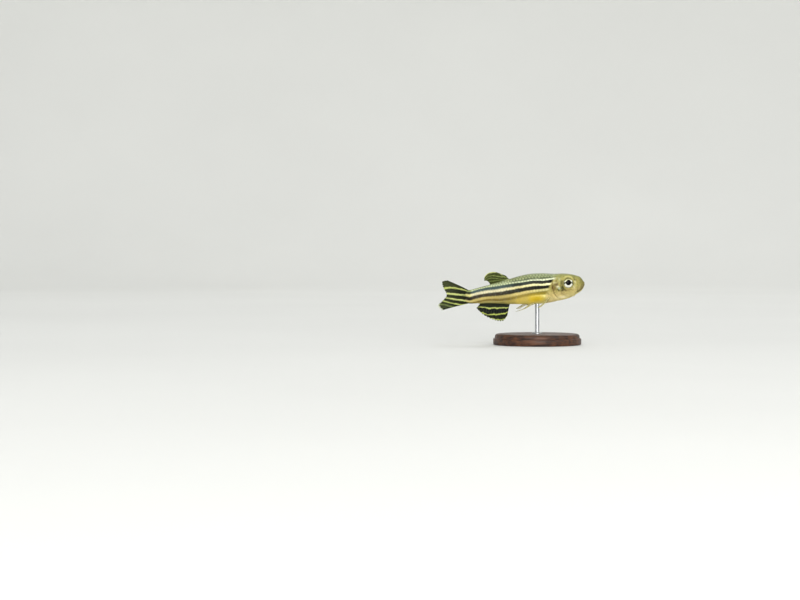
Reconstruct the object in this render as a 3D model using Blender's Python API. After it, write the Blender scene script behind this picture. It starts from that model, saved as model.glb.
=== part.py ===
# Zebra danio in life size on a small display stand. Metres, +Z up, head towards +X.
# The fish is shaped straight first, in millimetres: s runs back from the snout, y to its
# own left and z up from the line between snout and tail root. One spine then bends,
# leans and lifts every piece of it over the stand.

import math

import bmesh
import bpy
from mathutils import Matrix, Vector

MM = 0.001
GAP = 0.3                       # clear space between neighbouring pieces
TINY = 0.001                    # slivers shorter than this are closed up

# Distance from the snout, back line, belly line and half width along the body
BODY = (
    (0.0, 0.00, 0.00, 0.00),
    (0.35, 0.86, -0.92, 0.74),
    (1.1, 1.68, -1.81, 1.24),
    (2.5, 2.60, -2.80, 1.68),
    (5.2, 3.30, -3.65, 2.15),
    (8.0, 3.54, -3.98, 2.36),
    (11.0, 4.08, -4.20, 2.45),
    (14.8, 4.32, -3.98, 2.32),
    (18.9, 3.82, -3.46, 1.92),
    (23.0, 2.94, -2.67, 1.42),
    (27.0, 2.50, -2.06, 1.05),
    (31.2, 1.90, -1.88, 0.72),
)
FULLNESS = 0.92                 # below 1 fills out the corners of each section
BODY_SIDES = 28
BODY_RINGS = 11                 # in the trunk and in the tail

# Where the body is divided
GILL_BACK = 7.5                 # gill opening at the nape
GILL_THROAT = 6.3
GILL_BULGE = 1.8                # how much further back it lies on the flank
TRUNK_END = 20.1
BODY_END = 31.2
NOSE_RINGS = (0.05, 0.2, 0.5, 0.95, 1.5, 2.2, 3.0, 3.8, 4.6)
CHEEK_RINGS = 5                 # from the last of those to the gill opening

# Spine
SPINE_STEP = 0.25
SPINE_LENGTH = 46.0
PITCH = math.radians(7.1)       # snout up
TAIL_LIFT = math.radians(11.7)  # tail fin turned back up
TAIL_TURN = (29.6, 33.2)
SWAY = math.radians(14.0)       # rear half swung to the fish's left
SWAY_IN = (13.0, 27.0)
SWAY_OUT = (29.0, 38.0)
SWAY_LEFT = 0.35                # share of the sway kept in the tail fin
LEAN = math.radians(10.0)       # back tipped to the fish's right

# Eyes
EYE_AT = (4.4, 0.95)            # s and z of the middle
EYE_RADIUS = 1.2
EYE_DEPTH = 0.8
EYE_SUNK = 0.45
RIM_RADIUS = 1.5                # ring of skin round the socket
RIM_THICK = 0.16
RIM_POINTS = 24

# Mouth, nostrils and barbels
MOUTH_END = (2.2, -1.95)        # s and z of the corner
MOUTH_CURVE = 1.5               # above 1 the gape steepens towards the corner
MOUTH_POINTS = 18               # even, so that none sits on the snout's very tip
NOSE_ROUND = 1.35               # how quickly the snout opens with the root of s
LIP_APART = 0.26
LIP_THICK = 0.2
UPPER_LIP_SUNK = 0.06
MOUTH_GROOVE = 0.13
GROOVE_LIFT = 0.08
NOSTRILS = ((1.95, 1.35, 0.16), (2.5, 1.5, 0.2))     # s, z and radius
BARBELS = (((0.75, -0.3), 1.2), ((2.38, -1.7), 2.0))        # root's s and z, length
BARBEL_THICK = 0.25
BARBEL_OUT = 0.4                # how far its tip stands off, as a share of its length
BARBEL_BACK = (-0.75, 0, -0.5)  # where its tip trails to, for a barbel 1 long
BARBEL_POINTS = 7

# Gill covers
GILL_COVER_TOP = math.radians(46)
GILL_COVER_LOW = math.radians(150)
GILL_COVER_LENGTH = 2.25
GILL_COVER_RISE = 0.2           # free rear edge over the skin
GILL_COVER_THICK = 0.45
GILL_COVER_RADIUS = 3.2         # mean reach of the section there
GILL_COVER_END = 0.3            # share of its length at its top and lower ends
GILL_COVER_CELLS = (12, 6)

# Fins: half thickness of web, outer edge and rays, and how far the web stops short of the rays
WEB = 0.25
FIN_EDGE = 0.15
RAY_RAISE = 0.12
RAY_WIDTH = 0.26                # half of a ray, as a share of the ray spacing
FIN_ROOT_GAP = 0.4              # paired fins lie at a slant to the skin
MEDIAN_ROOT = 0.32              # half thickness where the dorsal and anal fins start
CAUDAL_ROOT = 0.42

# Each fin's base, number of rays and sideways bow, then share along the base with s and z
# of the ray's tip
DORSAL_BASE = (20.3, 25.4)
DORSAL_RAYS = 9
DORSAL_BOW = 0.25
DORSAL_SWEEP = (0.1, 0, 0.3)    # the rays curve back and up
DORSAL_TIPS = ((0, 21.9, 5.0), (0.15, 23.3, 6.0), (0.4, 25.1, 6.1), (0.7, 26.5, 5.3), (1, 26.9, 4.0))
ANAL_BASE = (20.9, 29.1)
ANAL_RAYS = 14
ANAL_BOW = -0.3
ANAL_TIPS = ((0, 22.0, -6.5), (0.15, 23.4, -7.75), (0.45, 26.1, -7.1), (0.75, 28.7, -5.3), (1, 30.2, -3.3))
CAUDAL_HALF_BASE = 1.7
CAUDAL_RAYS = 19
CAUDAL_BOW = 0.4
CAUDAL_TIPS = ((0, 6.9, 4.15), (0.12, 8.2, 3.7), (0.3, 7.9, 2.1), (0.5, 6.8, 0.0),
               (0.7, 8.0, -1.9), (0.88, 9.0, -3.2), (1, 7.8, -4.4))

# Paired fins: base from front to rear as s and angle, then share, s, y and z of the tips
PAIRED_BOW = 0.2
PELVIC_RAYS = 8
PELVIC_BASE = ((14.8, 150), (15.9, 168))
PELVIC_TIPS = ((0, 18.6, 2.5, -4.9), (0.5, 19.4, 1.8, -5.2), (1, 18.2, 0.9, -5.1))
PECTORAL_RAYS = 10
PECTORAL_BASE = ((10.2, 118), (10.8, 132))
PECTORAL_TIPS = ((0, 13.0, 5.3, -4.1), (0.4, 13.7, 4.7, -4.2), (1, 12.9, 3.3, -4.2))

# Stand
BASE_HEIGHT = 3.0
BASE_EDGE = ((11.5, 0.0), (12.0, 0.35), (12.0, 1.6), (11.6, 1.85), (11.5, 2.5), (10.8, BASE_HEIGHT))
BASE_SIDES = 64                 # edge as radius and height, from the foot up
ROD_RADIUS = 0.6
ROD_SIDES = 24
COLLAR = ((1.45, 0.0), (1.45, 0.2), (0.72, 0.35), (ROD_RADIUS, 0.7))    # height over the rod's foot
ROD_AT = 13.3                   # s of the rod under the belly
BELLY_HEIGHT = 11.2
BELLY_GAP = 0.4                 # the belly rises forwards over the flat end of the rod

BELLY = math.pi
SIDEWAYS = Vector((0, 1, 0))


def clear_scene():
    for item in list(bpy.data.objects):
        bpy.data.objects.remove(item)


def same(value):
    return value


def through(rows, at, warp=same):
    # Smooth curve through rows of a position followed by values
    knots = [warp(row[0]) for row in rows]
    u = min(max(warp(at), knots[0]), knots[-1])
    i = min(max(k for k, knot in enumerate(knots) if knot <= u), len(knots) - 2)
    span = knots[i + 1] - knots[i]
    f = (u - knots[i]) / span
    values = []
    for column in range(1, len(rows[0])):
        slopes = []
        for k in (i, i + 1):
            low, high = max(k - 1, 0), min(k + 1, len(knots) - 1)
            slopes.append((rows[high][column] - rows[low][column]) / (knots[high] - knots[low]))
        a, b = rows[i][column], rows[i + 1][column]
        values.append(a * (1 + 2 * f) * (1 - f) ** 2 + b * f * f * (3 - 2 * f)
                      + span * (slopes[0] * f * (1 - f) ** 2 - slopes[1] * f * f * (1 - f)))
    return values


def ease(value, start, end):
    f = min(max((value - start) / (end - start), 0.0), 1.0)
    return f * f * (3 - 2 * f)


def body_at(s):
    # Taken over the root of s, which rounds the snout
    return through(BODY, max(s, 0.0), math.sqrt)


def section(s, angle):
    # Point of the skin: angle 0 on the back, a quarter turn on the left flank
    top, bottom, half = body_at(s)
    across, up = math.sin(angle), math.cos(angle)
    y = half * math.copysign(abs(across) ** FULLNESS, across)
    z = (top + bottom) / 2 + (top - bottom) / 2 * math.copysign(abs(up) ** FULLNESS, up)
    return Vector((-s, y, z))


def skin_normal(s, angle):
    step = 0.02
    along = section(s + step, angle) - section(max(s - step, 0.0), angle)
    around = section(s, angle + step) - section(s, angle - step)
    return around.cross(along).normalized()


def skin(s, angle, lift):
    return section(s, angle) + skin_normal(s, angle) * lift


def angle_at(s, z, side):
    # Angle at which the flank on this side (1 left, -1 right) has the height z
    top, bottom, half = body_at(s)
    up = (z - (top + bottom) / 2) / ((top - bottom) / 2)
    up = min(max(up, -1.0), 1.0)
    return side * math.acos(math.copysign(abs(up) ** (1 / FULLNESS), up))


def gill_line(angle):
    # Rear edge of the head
    low = (1 - math.cos(angle)) / 2
    return GILL_BACK + (GILL_THROAT - GILL_BACK) * low + GILL_BULGE * abs(math.sin(angle)) ** 1.5


def spine_frames():
    # Places and directions along the spine, from the snout back
    frames = []
    point = Vector((0, 0, 0))
    for i in range(int(SPINE_LENGTH / SPINE_STEP) + 1):
        s = i * SPINE_STEP
        pitch = PITCH - TAIL_LIFT * ease(s, *TAIL_TURN)
        yaw = SWAY * (ease(s, *SWAY_IN) - (1 - SWAY_LEFT) * ease(s, *SWAY_OUT))
        forward = Vector((math.cos(pitch) * math.cos(yaw), -math.cos(pitch) * math.sin(yaw),
                          math.sin(pitch)))
        left = Vector((0, 0, 1)).cross(forward).normalized()
        lean = Matrix.Rotation(LEAN, 3, forward)
        frames.append((point.copy(), forward, lean @ left, lean @ forward.cross(left)))
        point -= forward * SPINE_STEP
    return frames


FRAMES = spine_frames()


def bent(point):
    # From the straight fish to the bent one, both in millimetres
    s = -point.x
    at = min(max(s, 0.0) / SPINE_STEP, len(FRAMES) - 2.001)
    i = int(at)
    place, forward, left, up = (a.lerp(b, at - i) for a, b in zip(FRAMES[i], FRAMES[i + 1]))
    return place - forward * min(s, 0.0) + left * point.y + up * point.z


def posed(point):
    # In metres, with the belly over the middle of the base
    belly = bent(section(ROD_AT, BELLY))
    return (bent(point) + Vector((-belly.x, -belly.y, BELLY_HEIGHT - belly.z))) * MM


def material(name, colour, roughness, metallic=0.0):
    made = bpy.data.materials.new(name)
    made.use_nodes = True
    shader = made.node_tree.nodes["Principled BSDF"]
    shader.inputs["Base Color"].default_value = (*colour, 1.0)
    shader.inputs["Roughness"].default_value = roughness
    shader.inputs["Metallic"].default_value = metallic
    return made


def mesh_from(name, points, faces):
    mesh = bpy.data.meshes.new(name)
    mesh.from_pydata(points, [], faces)
    shape = bmesh.new()
    shape.from_mesh(mesh)
    bmesh.ops.recalc_face_normals(shape, faces=shape.faces)
    bmesh.ops.triangulate(shape, faces=shape.faces)
    shape.to_mesh(mesh)
    shape.free()
    return mesh


def piece(mesh):
    # Loose object, which a Boolean will use up
    return bpy.data.objects.new(mesh.name, mesh)


def loft_mesh(name, rings, front, back):
    # Closed skin through rings of points, each end drawn to one point
    sides = len(rings[0])
    points = [point for ring in rings for point in ring] + [front, back]
    front_at, back_at = len(points) - 2, len(points) - 1
    last = (len(rings) - 1) * sides
    faces = []
    for j in range(sides):
        k = (j + 1) % sides
        faces.append((front_at, j, k))
        faces.append((back_at, last + k, last + j))
        for i in range(0, last, sides):
            faces.append((i + j, i + sides + j, i + sides + k, i + k))
    return mesh_from(name, points, faces)


def body_ring(start, end, share):
    # Ring part way between two lines across the body, each a function of the angle
    ring = []
    for j in range(BODY_SIDES):
        angle = 2 * math.pi * j / BODY_SIDES
        ring.append(section(start(angle) + (end(angle) - start(angle)) * share, angle))
    return ring


def body_part(name, start, end, front, back):
    # Length of the body between two such lines, closed at two points on its axis
    shares = [k / (BODY_RINGS - 1) for k in range(BODY_RINGS)]
    return loft_mesh(name, [body_ring(start, end, share) for share in shares], front, back)


def plane_at(s):
    return lambda angle: s


def axis_point(s):
    top, bottom, half = body_at(s)
    return Vector((-s, 0, (top + bottom) / 2))


def head_mesh():
    rings = [body_ring(plane_at(s), plane_at(s), 0) for s in NOSE_RINGS]
    rings += [body_ring(plane_at(NOSE_RINGS[-1]), gill_line, k / CHEEK_RINGS)
              for k in range(1, CHEEK_RINGS + 1)]
    return loft_mesh("head", rings, Vector((0, 0, 0)), axis_point(GILL_BACK))


def trunk_mesh():
    end = TRUNK_END - GAP / 2
    return body_part("trunk", lambda angle: gill_line(angle) + GAP, plane_at(end),
                     axis_point(GILL_BACK + GAP), axis_point(end))


def tail_mesh():
    start = TRUNK_END + GAP / 2
    return body_part("tail", plane_at(start), plane_at(BODY_END), axis_point(start), axis_point(BODY_END))


def plate_mesh(name, across, rows, point):
    # Thin plate of cells that are split alike on both faces
    # point(place across, share outwards, face 1 or -1) gives each corner
    points = []
    for face in (1, -1):
        for place in across:
            points += [point(place, i / rows, face) for i in range(rows + 1)]
    step = rows + 1
    last = (len(across) - 1) * step
    size = last + step
    faces = []
    for j in range(0, last, step):
        for i in range(rows):
            a, b = j + i, j + i + 1
            c, d = b + step, a + step
            faces += [(a, b, c), (a, c, d)]
            faces += [(size + c, size + b, size + a), (size + d, size + c, size + a)]
    rim = list(range(step)) + list(range(step + rows, last, step))
    rim += list(range(last + rows, last, -1)) + list(range(last, 0, -step))
    for k, a in enumerate(rim):
        b = rim[(k + 1) % len(rim)]
        faces += [(a, b, size + b), (a, size + b, size + a)]
    return mesh_from(name, points, faces)


def fin_mesh(name, rays, rows, root, tip, side, root_half, bow, sweep=Vector(), notch=0.06):
    # Web with each ray as a ridge on both faces; the web stops short of the ray tips
    across = []
    for ray in range(rays):
        for part in (-RAY_WIDTH, 0.0, RAY_WIDTH):
            share = (ray + part) / (rays - 1)
            if 0.0 <= share <= 1.0:
                across.append((share, part == 0.0))

    def point(place, v, face):
        share, crest = place
        half = root_half + (WEB - root_half) * min(v * 2, 1.0)
        half += (FIN_EDGE - half) * v ** 3
        if crest:
            half += RAY_RAISE * (1 - v / 2)
        reach = v if crest else v * (1 - notch)
        arch = math.sin(math.pi * reach)
        return root(share).lerp(tip(share), reach) + sweep * arch + side * (bow * arch + face * half)
    return plate_mesh(name, across, rows, point)


def dorsal_fin():
    def root(t):
        s = DORSAL_BASE[0] + (DORSAL_BASE[1] - DORSAL_BASE[0]) * t
        return Vector((-s, 0, body_at(s)[0] + GAP))

    def tip(t):
        s, z = through(DORSAL_TIPS, t)
        return Vector((-s, 0, z))
    return fin_mesh("dorsal_fin", DORSAL_RAYS, 5, root, tip, SIDEWAYS, MEDIAN_ROOT, DORSAL_BOW,
                    sweep=Vector(DORSAL_SWEEP))


def anal_fin():
    def root(t):
        s = ANAL_BASE[0] + (ANAL_BASE[1] - ANAL_BASE[0]) * t
        return Vector((-s, 0, body_at(s)[1] - GAP))

    def tip(t):
        s, z = through(ANAL_TIPS, t)
        return Vector((-s, 0, z))
    return fin_mesh("anal_fin", ANAL_RAYS, 5, root, tip, SIDEWAYS, MEDIAN_ROOT, ANAL_BOW, notch=0.1)


def caudal_fin():
    def root(t):
        return Vector((-(BODY_END + GAP), 0, CAUDAL_HALF_BASE * (1 - 2 * t)))

    def tip(t):
        back, z = through(CAUDAL_TIPS, t)
        return Vector((-(BODY_END + back), 0, z))
    return fin_mesh("caudal_fin", CAUDAL_RAYS, 6, root, tip, SIDEWAYS, CAUDAL_ROOT, CAUDAL_BOW, notch=0.05)


def paired_fin(name, side, rays, base, tips):
    (start, start_turn), (end, end_turn) = base

    def root(t):
        turn = math.radians(start_turn + (end_turn - start_turn) * t)
        return skin(start + (end - start) * t, side * turn, FIN_ROOT_GAP)

    def tip(t):
        s, y, z = through(tips, t)
        return Vector((-s, side * y, z))
    flat = (tip(0) - root(0)).cross(tip(1) - root(0)).normalized()
    return fin_mesh(name, rays, 4, root, tip, flat, WEB, PAIRED_BOW)


def gill_plate(side, room, inner, past):
    # Cover over the gills, or with room around it the recess that it lies in
    spread = room / GILL_COVER_RADIUS
    first, last = GILL_COVER_TOP - spread, GILL_COVER_LOW + spread
    columns, rows = GILL_COVER_CELLS

    def point(t, v, face):
        angle = first + (last - first) * t
        edge = gill_line(angle)
        swell = max(math.sin(math.pi * t), 0.0) ** 0.6
        front = edge - GILL_COVER_LENGTH * (GILL_COVER_END + (1 - GILL_COVER_END) * swell) - room
        lift = GILL_COVER_RISE * v + room * 2 if face > 0 else -inner
        return skin(front + (edge + past - front) * v, side * angle, lift)
    return plate_mesh("gill_cover", [j / columns for j in range(columns + 1)], rows, point)


def eyeball(side, grow):
    # Flattened ball whose own Z looks out of the head
    angle = angle_at(*EYE_AT, side)
    turn = skin_normal(EYE_AT[0], angle).to_track_quat("Z", "Y").to_matrix().to_4x4()
    size = Matrix.Diagonal((EYE_RADIUS + grow, EYE_RADIUS + grow, EYE_DEPTH + grow, 1.0))
    place = Matrix.Translation(skin(EYE_AT[0], angle, -EYE_SUNK)) @ turn @ size
    mesh = bpy.data.meshes.new("eye")
    shape = bmesh.new()
    bmesh.ops.create_uvsphere(shape, u_segments=20, v_segments=12, radius=1.0, matrix=place)
    bmesh.ops.triangulate(shape, faces=shape.faces)
    shape.to_mesh(mesh)
    shape.free()
    return mesh


def tube(points, thick, closed=False, taper=1.0):
    # Round tube along points, as a closed mesh; it may narrow to its far end
    line = bpy.data.curves.new("tube", "CURVE")
    line.dimensions = "3D"
    line.bevel_depth = thick
    line.bevel_resolution = 2
    line.use_fill_caps = True
    spline = line.splines.new("POLY")
    spline.points.add(len(points) - 1)
    spline.use_cyclic_u = closed
    for i, point in enumerate(points):
        spline.points[i].co = (*point, 1.0)
        spline.points[i].radius = 1 + (taper - 1) * i / (len(points) - 1)
    item = bpy.data.objects.new("tube", line)
    bpy.context.scene.collection.objects.link(item)
    graph = bpy.context.evaluated_depsgraph_get()
    mesh = bpy.data.meshes.new_from_object(item.evaluated_get(graph))
    bpy.data.objects.remove(item)
    shape = bmesh.new()
    shape.from_mesh(mesh)
    bmesh.ops.remove_doubles(shape, verts=shape.verts, dist=0.0001)
    bmesh.ops.recalc_face_normals(shape, faces=shape.faces)
    bmesh.ops.triangulate(shape, faces=shape.faces)
    shape.to_mesh(mesh)
    shape.free()
    return mesh


def eye_rim(side):
    points = []
    for k in range(RIM_POINTS):
        turn = 2 * math.pi * k / RIM_POINTS
        s = EYE_AT[0] + RIM_RADIUS * math.cos(turn)
        z = EYE_AT[1] + RIM_RADIUS * math.sin(turn)
        points.append(skin(s, angle_at(s, z, side), -RIM_THICK / 3))
    return tube(points, RIM_THICK, closed=True)


def mouth_line(apart, lift):
    # Runs from the right corner round the snout to the left one
    points = []
    for k in range(MOUTH_POINTS):
        across = 2 * k / (MOUTH_POINTS - 1) - 1
        s = MOUTH_END[0] * across ** 2 + (apart / NOSE_ROUND) ** 2
        z = MOUTH_END[1] * abs(across) ** MOUTH_CURVE + apart * (1 - 0.5 * across ** 2)
        points.append(skin(s, angle_at(s, z, math.copysign(1, across)), lift))
    return points


def barbel(side, root, length):
    # Leaves the skin outwards, then lies back along the jaw and bends down
    start = skin(root[0], angle_at(*root, side), -BARBEL_THICK)
    out = skin_normal(root[0], angle_at(*root, side))
    points = []
    for k in range(BARBEL_POINTS):
        share = k / (BARBEL_POINTS - 1)
        stand_off = (BARBEL_OUT * length + BARBEL_THICK) * math.sin(share * math.pi / 2)
        back = Vector(BARBEL_BACK) * length * share ** 1.4
        points.append(start + out * stand_off + back)
    return tube(points, BARBEL_THICK, taper=0.4)


def nostril(side, s, z, radius):
    place = Matrix.Translation(skin(s, angle_at(s, z, side), 0.0))
    mesh = bpy.data.meshes.new("nostril")
    shape = bmesh.new()
    bmesh.ops.create_uvsphere(shape, u_segments=8, v_segments=6, radius=radius, matrix=place)
    shape.to_mesh(mesh)
    shape.free()
    return mesh


def combine(body, pieces, operation):
    # One Boolean with a collection of closed pieces, which are then gone
    group = bpy.data.collections.new(operation.lower())
    bpy.context.scene.collection.children.link(group)
    for item in pieces:
        group.objects.link(item)
    step = body.modifiers.new(operation.lower(), "BOOLEAN")
    step.operation = operation
    step.operand_type = "COLLECTION"
    step.collection = group
    step.solver = "MANIFOLD"
    graph = bpy.context.evaluated_depsgraph_get()
    body.data = bpy.data.meshes.new_from_object(body.evaluated_get(graph))
    body.modifiers.clear()
    for item in pieces:
        bpy.data.objects.remove(item)
    bpy.data.collections.remove(group)


def keep_largest(item):
    # Drops loose scraps, so that the node stays one closed surface
    shape = bmesh.new()
    shape.from_mesh(item.data)
    left = set(shape.verts)
    groups = []
    while left:
        stack = [left.pop()]
        group = list(stack)
        while stack:
            for edge in stack.pop().link_edges:
                for vert in edge.verts:
                    if vert in left:
                        left.remove(vert)
                        group.append(vert)
                        stack.append(vert)
        groups.append(group)
    groups.sort(key=len)
    bmesh.ops.delete(shape, geom=[v for group in groups[:-1] for v in group], context="VERTS")
    bmesh.ops.remove_doubles(shape, verts=shape.verts, dist=TINY)
    bmesh.ops.dissolve_degenerate(shape, edges=shape.edges, dist=TINY)
    bmesh.ops.delete(shape, geom=[e for e in shape.edges if not e.link_faces], context="EDGES")
    bmesh.ops.triangulate(shape, faces=shape.faces)
    shape.to_mesh(item.data)
    shape.free()


def finish_head(head):
    # Lips, eye rims and barbels are joined on, then every hollow is cut
    added = [piece(tube(mouth_line(LIP_APART, -UPPER_LIP_SUNK), LIP_THICK)),
             piece(tube(mouth_line(-LIP_APART, 0.0), LIP_THICK))]
    cutters = [piece(tube(mouth_line(0.0, GROOVE_LIFT), MOUTH_GROOVE))]
    for side in (1, -1):
        added.append(piece(eye_rim(side)))
        added += [piece(barbel(side, root, length)) for root, length in BARBELS]
        cutters.append(piece(eyeball(side, GAP)))
        cutters.append(piece(gill_plate(side, GAP, GILL_COVER_THICK + GAP, 1.0)))
        cutters += [piece(nostril(side, *size)) for size in NOSTRILS]
    combine(head, added, "UNION")
    keep_largest(head)
    combine(head, cutters, "DIFFERENCE")
    keep_largest(head)


def pose(item):
    for vert in item.data.vertices:
        vert.co = posed(vert.co)
    item.data.shade_smooth()
    item.data.set_sharp_from_angle(angle=math.radians(40))


def turned_piece(name, edge, sides, look, group):
    # Piece of the stand turned about the upright axis, from the radius and height of its edge
    rings = []
    for radius, height in edge:
        rings.append([Matrix.Rotation(2 * math.pi * j / sides, 3, "Z") @ Vector((radius, 0, height)) * MM
                      for j in range(sides)])
    mesh = loft_mesh(name, rings, Vector((0, 0, edge[0][1] * MM)), Vector((0, 0, edge[-1][1] * MM)))
    item = bpy.data.objects.new(name, mesh)
    mesh.shade_smooth()
    mesh.set_sharp_from_angle(angle=math.radians(30))
    mesh.materials.append(look)
    group.objects.link(item)


def stand(group, wood, steel):
    turned_piece("stand_base", BASE_EDGE, BASE_SIDES, wood, group)
    rod = [(radius, BASE_HEIGHT + GAP + height) for radius, height in COLLAR]
    rod.append((ROD_RADIUS, BELLY_HEIGHT - BELLY_GAP))
    turned_piece("stand_rod", rod, ROD_SIDES, steel, group)


def build():
    clear_scene()
    group = bpy.data.collections.new("zebra_danio")
    bpy.context.scene.collection.children.link(group)
    flesh = material("flesh", (0.62, 0.55, 0.25), 0.35)
    fin = material("fin", (0.35, 0.38, 0.20), 0.4)
    eye = material("eye", (0.05, 0.05, 0.06), 0.1)
    wood = material("stand_wood", (0.10, 0.07, 0.05), 0.5)
    steel = material("stand_steel", (0.6, 0.6, 0.6), 0.3, 1.0)
    parts = {"head": (head_mesh(), flesh), "trunk": (trunk_mesh(), flesh), "tail": (tail_mesh(), flesh),
             "dorsal_fin": (dorsal_fin(), fin), "anal_fin": (anal_fin(), fin),
             "caudal_fin": (caudal_fin(), fin)}
    for side, tag in ((1, "left"), (-1, "right")):
        parts["gill_cover_" + tag] = (gill_plate(side, 0.0, GILL_COVER_THICK, 0.0), flesh)
        parts["eye_" + tag] = (eyeball(side, 0.0), eye)
        parts["pelvic_fin_" + tag] = (
            paired_fin("pelvic_fin", side, PELVIC_RAYS, PELVIC_BASE, PELVIC_TIPS), fin)
        parts["pectoral_fin_" + tag] = (
            paired_fin("pectoral_fin", side, PECTORAL_RAYS, PECTORAL_BASE, PECTORAL_TIPS), fin)
    for name, (mesh, look) in parts.items():
        item = bpy.data.objects.new(name, mesh)
        group.objects.link(item)
        if name == "head":
            finish_head(item)
        item.data.materials.clear()
        item.data.materials.append(look)
        pose(item)
    stand(group, wood, steel)


build()
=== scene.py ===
import math
import random
from bisect import bisect_right
from functools import lru_cache

import bmesh
import bpy
from mathutils import Matrix, Vector, kdtree


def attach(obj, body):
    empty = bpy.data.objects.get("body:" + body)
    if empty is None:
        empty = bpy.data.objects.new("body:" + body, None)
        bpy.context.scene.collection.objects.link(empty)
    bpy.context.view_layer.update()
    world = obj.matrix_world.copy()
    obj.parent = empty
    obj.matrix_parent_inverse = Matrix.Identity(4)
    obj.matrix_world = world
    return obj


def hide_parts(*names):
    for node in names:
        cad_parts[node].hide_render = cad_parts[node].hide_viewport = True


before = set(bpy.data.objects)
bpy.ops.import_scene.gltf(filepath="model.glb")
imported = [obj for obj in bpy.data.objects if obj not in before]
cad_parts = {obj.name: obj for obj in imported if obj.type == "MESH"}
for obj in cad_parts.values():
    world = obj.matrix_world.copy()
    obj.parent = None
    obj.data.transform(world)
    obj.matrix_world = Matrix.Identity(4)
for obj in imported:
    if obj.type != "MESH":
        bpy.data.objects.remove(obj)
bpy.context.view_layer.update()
mm = 0.001
chance = random.Random(7)


# the straight fish
fish = {
    "rows": (                        # s, back line, belly line, half width
        (0.0, 0.00, 0.00, 0.00), (0.35, 0.86, -0.92, 0.74), (1.1, 1.68, -1.81, 1.24),
        (2.5, 2.60, -2.80, 1.68), (5.2, 3.30, -3.65, 2.15), (8.0, 3.54, -3.98, 2.36),
        (11.0, 4.08, -4.20, 2.45), (14.8, 4.32, -3.98, 2.32), (18.9, 3.82, -3.46, 1.92),
        (23.0, 2.94, -2.67, 1.42), (27.0, 2.50, -2.06, 1.05), (31.2, 1.90, -1.88, 0.72)),
    "fullness": 0.92,                # below 1 fills out the corners of each section
    "gillBack": 7.5, "gillThroat": 6.3, "gillBulge": 1.8,
    "tailRoot": 31.2,
    "tailWedge": 1.5,                # the flesh runs out this far over the tail fin's rays
    "wedgeLess": (0.12, 0.86),       # share of its height and width that it loses there
    "wedgeCurve": 0.55,
}


def same(value):
    return value


def throughRows(rows, at, warp=same):
    # smooth curve through rows of a position followed by values
    knots = [warp(row[0]) for row in rows]
    u = min(max(warp(at), knots[0]), knots[-1])
    i = min(max(k for k, knot in enumerate(knots) if knot <= u), len(knots) - 2)
    span = knots[i + 1] - knots[i]
    f = (u - knots[i]) / span
    values = []
    for column in range(1, len(rows[0])):
        slopes = []
        for k in (i, i + 1):
            low, high = max(k - 1, 0), min(k + 1, len(knots) - 1)
            slopes.append((rows[high][column] - rows[low][column]) / (knots[high] - knots[low]))
        a, b = rows[i][column], rows[i + 1][column]
        values.append(a * (1 + 2 * f) * (1 - f) ** 2 + b * f * f * (3 - 2 * f)
                      + span * (slopes[0] * f * (1 - f) ** 2 - slopes[1] * f * f * (1 - f)))
    return values


def ease(value, start, end):
    f = min(max((value - start) / (end - start), 0.0), 1.0)
    return f * f * (3 - 2 * f)


def hump(value, width):
    return math.exp(-(value / width) ** 2)


@lru_cache(maxsize=None)
def bodyAt(s):
    top, bottom, half = throughRows(fish["rows"], max(s, 0.0), math.sqrt)
    past = min(max(s - fish["tailRoot"], 0.0) / fish["tailWedge"], 1.0)
    lower, narrower = fish["wedgeLess"]
    shrink = 1 - lower * past * past
    return top * shrink, bottom * shrink, half * (1 - narrower * past ** 1.3)


def section(s, angle):
    # point of the skin: angle 0 on the back, a quarter turn on the left flank
    top, bottom, half = bodyAt(s)
    across, up = math.sin(angle), math.cos(angle)
    y = half * math.copysign(abs(across) ** fish["fullness"], across)
    z = (top + bottom) / 2 + (top - bottom) / 2 * math.copysign(abs(up) ** fish["fullness"], up)
    return Vector((-s, y, z))


def skinNormal(s, angle):
    step = 0.02
    along = section(s + step, angle) - section(max(s - step, 0.0), angle)
    around = section(s, angle + step) - section(s, angle - step)
    return around.cross(along).normalized()


def skinAt(s, angle, lift=0.0):
    return section(s, angle) + skinNormal(s, angle) * lift


def angleAt(s, z, side=1):
    top, bottom = bodyAt(s)[:2]
    up = min(max((z - (top + bottom) / 2) / ((top - bottom) / 2), -1.0), 1.0)
    return side * math.acos(math.copysign(abs(up) ** (1 / fish["fullness"]), up))


def gillLine(angle):
    # rear edge of the gill covers
    low = (1 - math.cos(angle)) / 2
    return (fish["gillBack"] + (fish["gillThroat"] - fish["gillBack"]) * low
            + fish["gillBulge"] * abs(math.sin(angle)) ** 1.5)


# the spine that poses it
spine = {
    "step": 0.25, "length": 46.0,
    "pitch": 7.1,                    # snout up, in degrees
    "tailLift": 11.7, "tailTurn": (29.6, 33.2),
    "sway": 14.0,                    # rear half swung to the fish's left
    "swayIn": (13.0, 27.0), "swayOut": (29.0, 38.0), "swayLeft": 0.35,
    "lean": 10.0,                    # back tipped to the fish's right
    "rodAt": 13.3, "bellyHeight": 11.2,
}


def spineFrames():
    frames = []
    point = Vector((0, 0, 0))
    lean = math.radians(spine["lean"])
    for i in range(int(spine["length"] / spine["step"]) + 1):
        s = i * spine["step"]
        pitch = math.radians(spine["pitch"] - spine["tailLift"] * ease(s, *spine["tailTurn"]))
        yaw = math.radians(spine["sway"]) * (
            ease(s, *spine["swayIn"]) - (1 - spine["swayLeft"]) * ease(s, *spine["swayOut"]))
        forward = Vector((math.cos(pitch) * math.cos(yaw), -math.cos(pitch) * math.sin(yaw),
                          math.sin(pitch)))
        left = Vector((0, 0, 1)).cross(forward).normalized()
        tip = Matrix.Rotation(lean, 3, forward)
        frames.append((point.copy(), forward, tip @ left, tip @ forward.cross(left)))
        point -= forward * spine["step"]
    return frames


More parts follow.
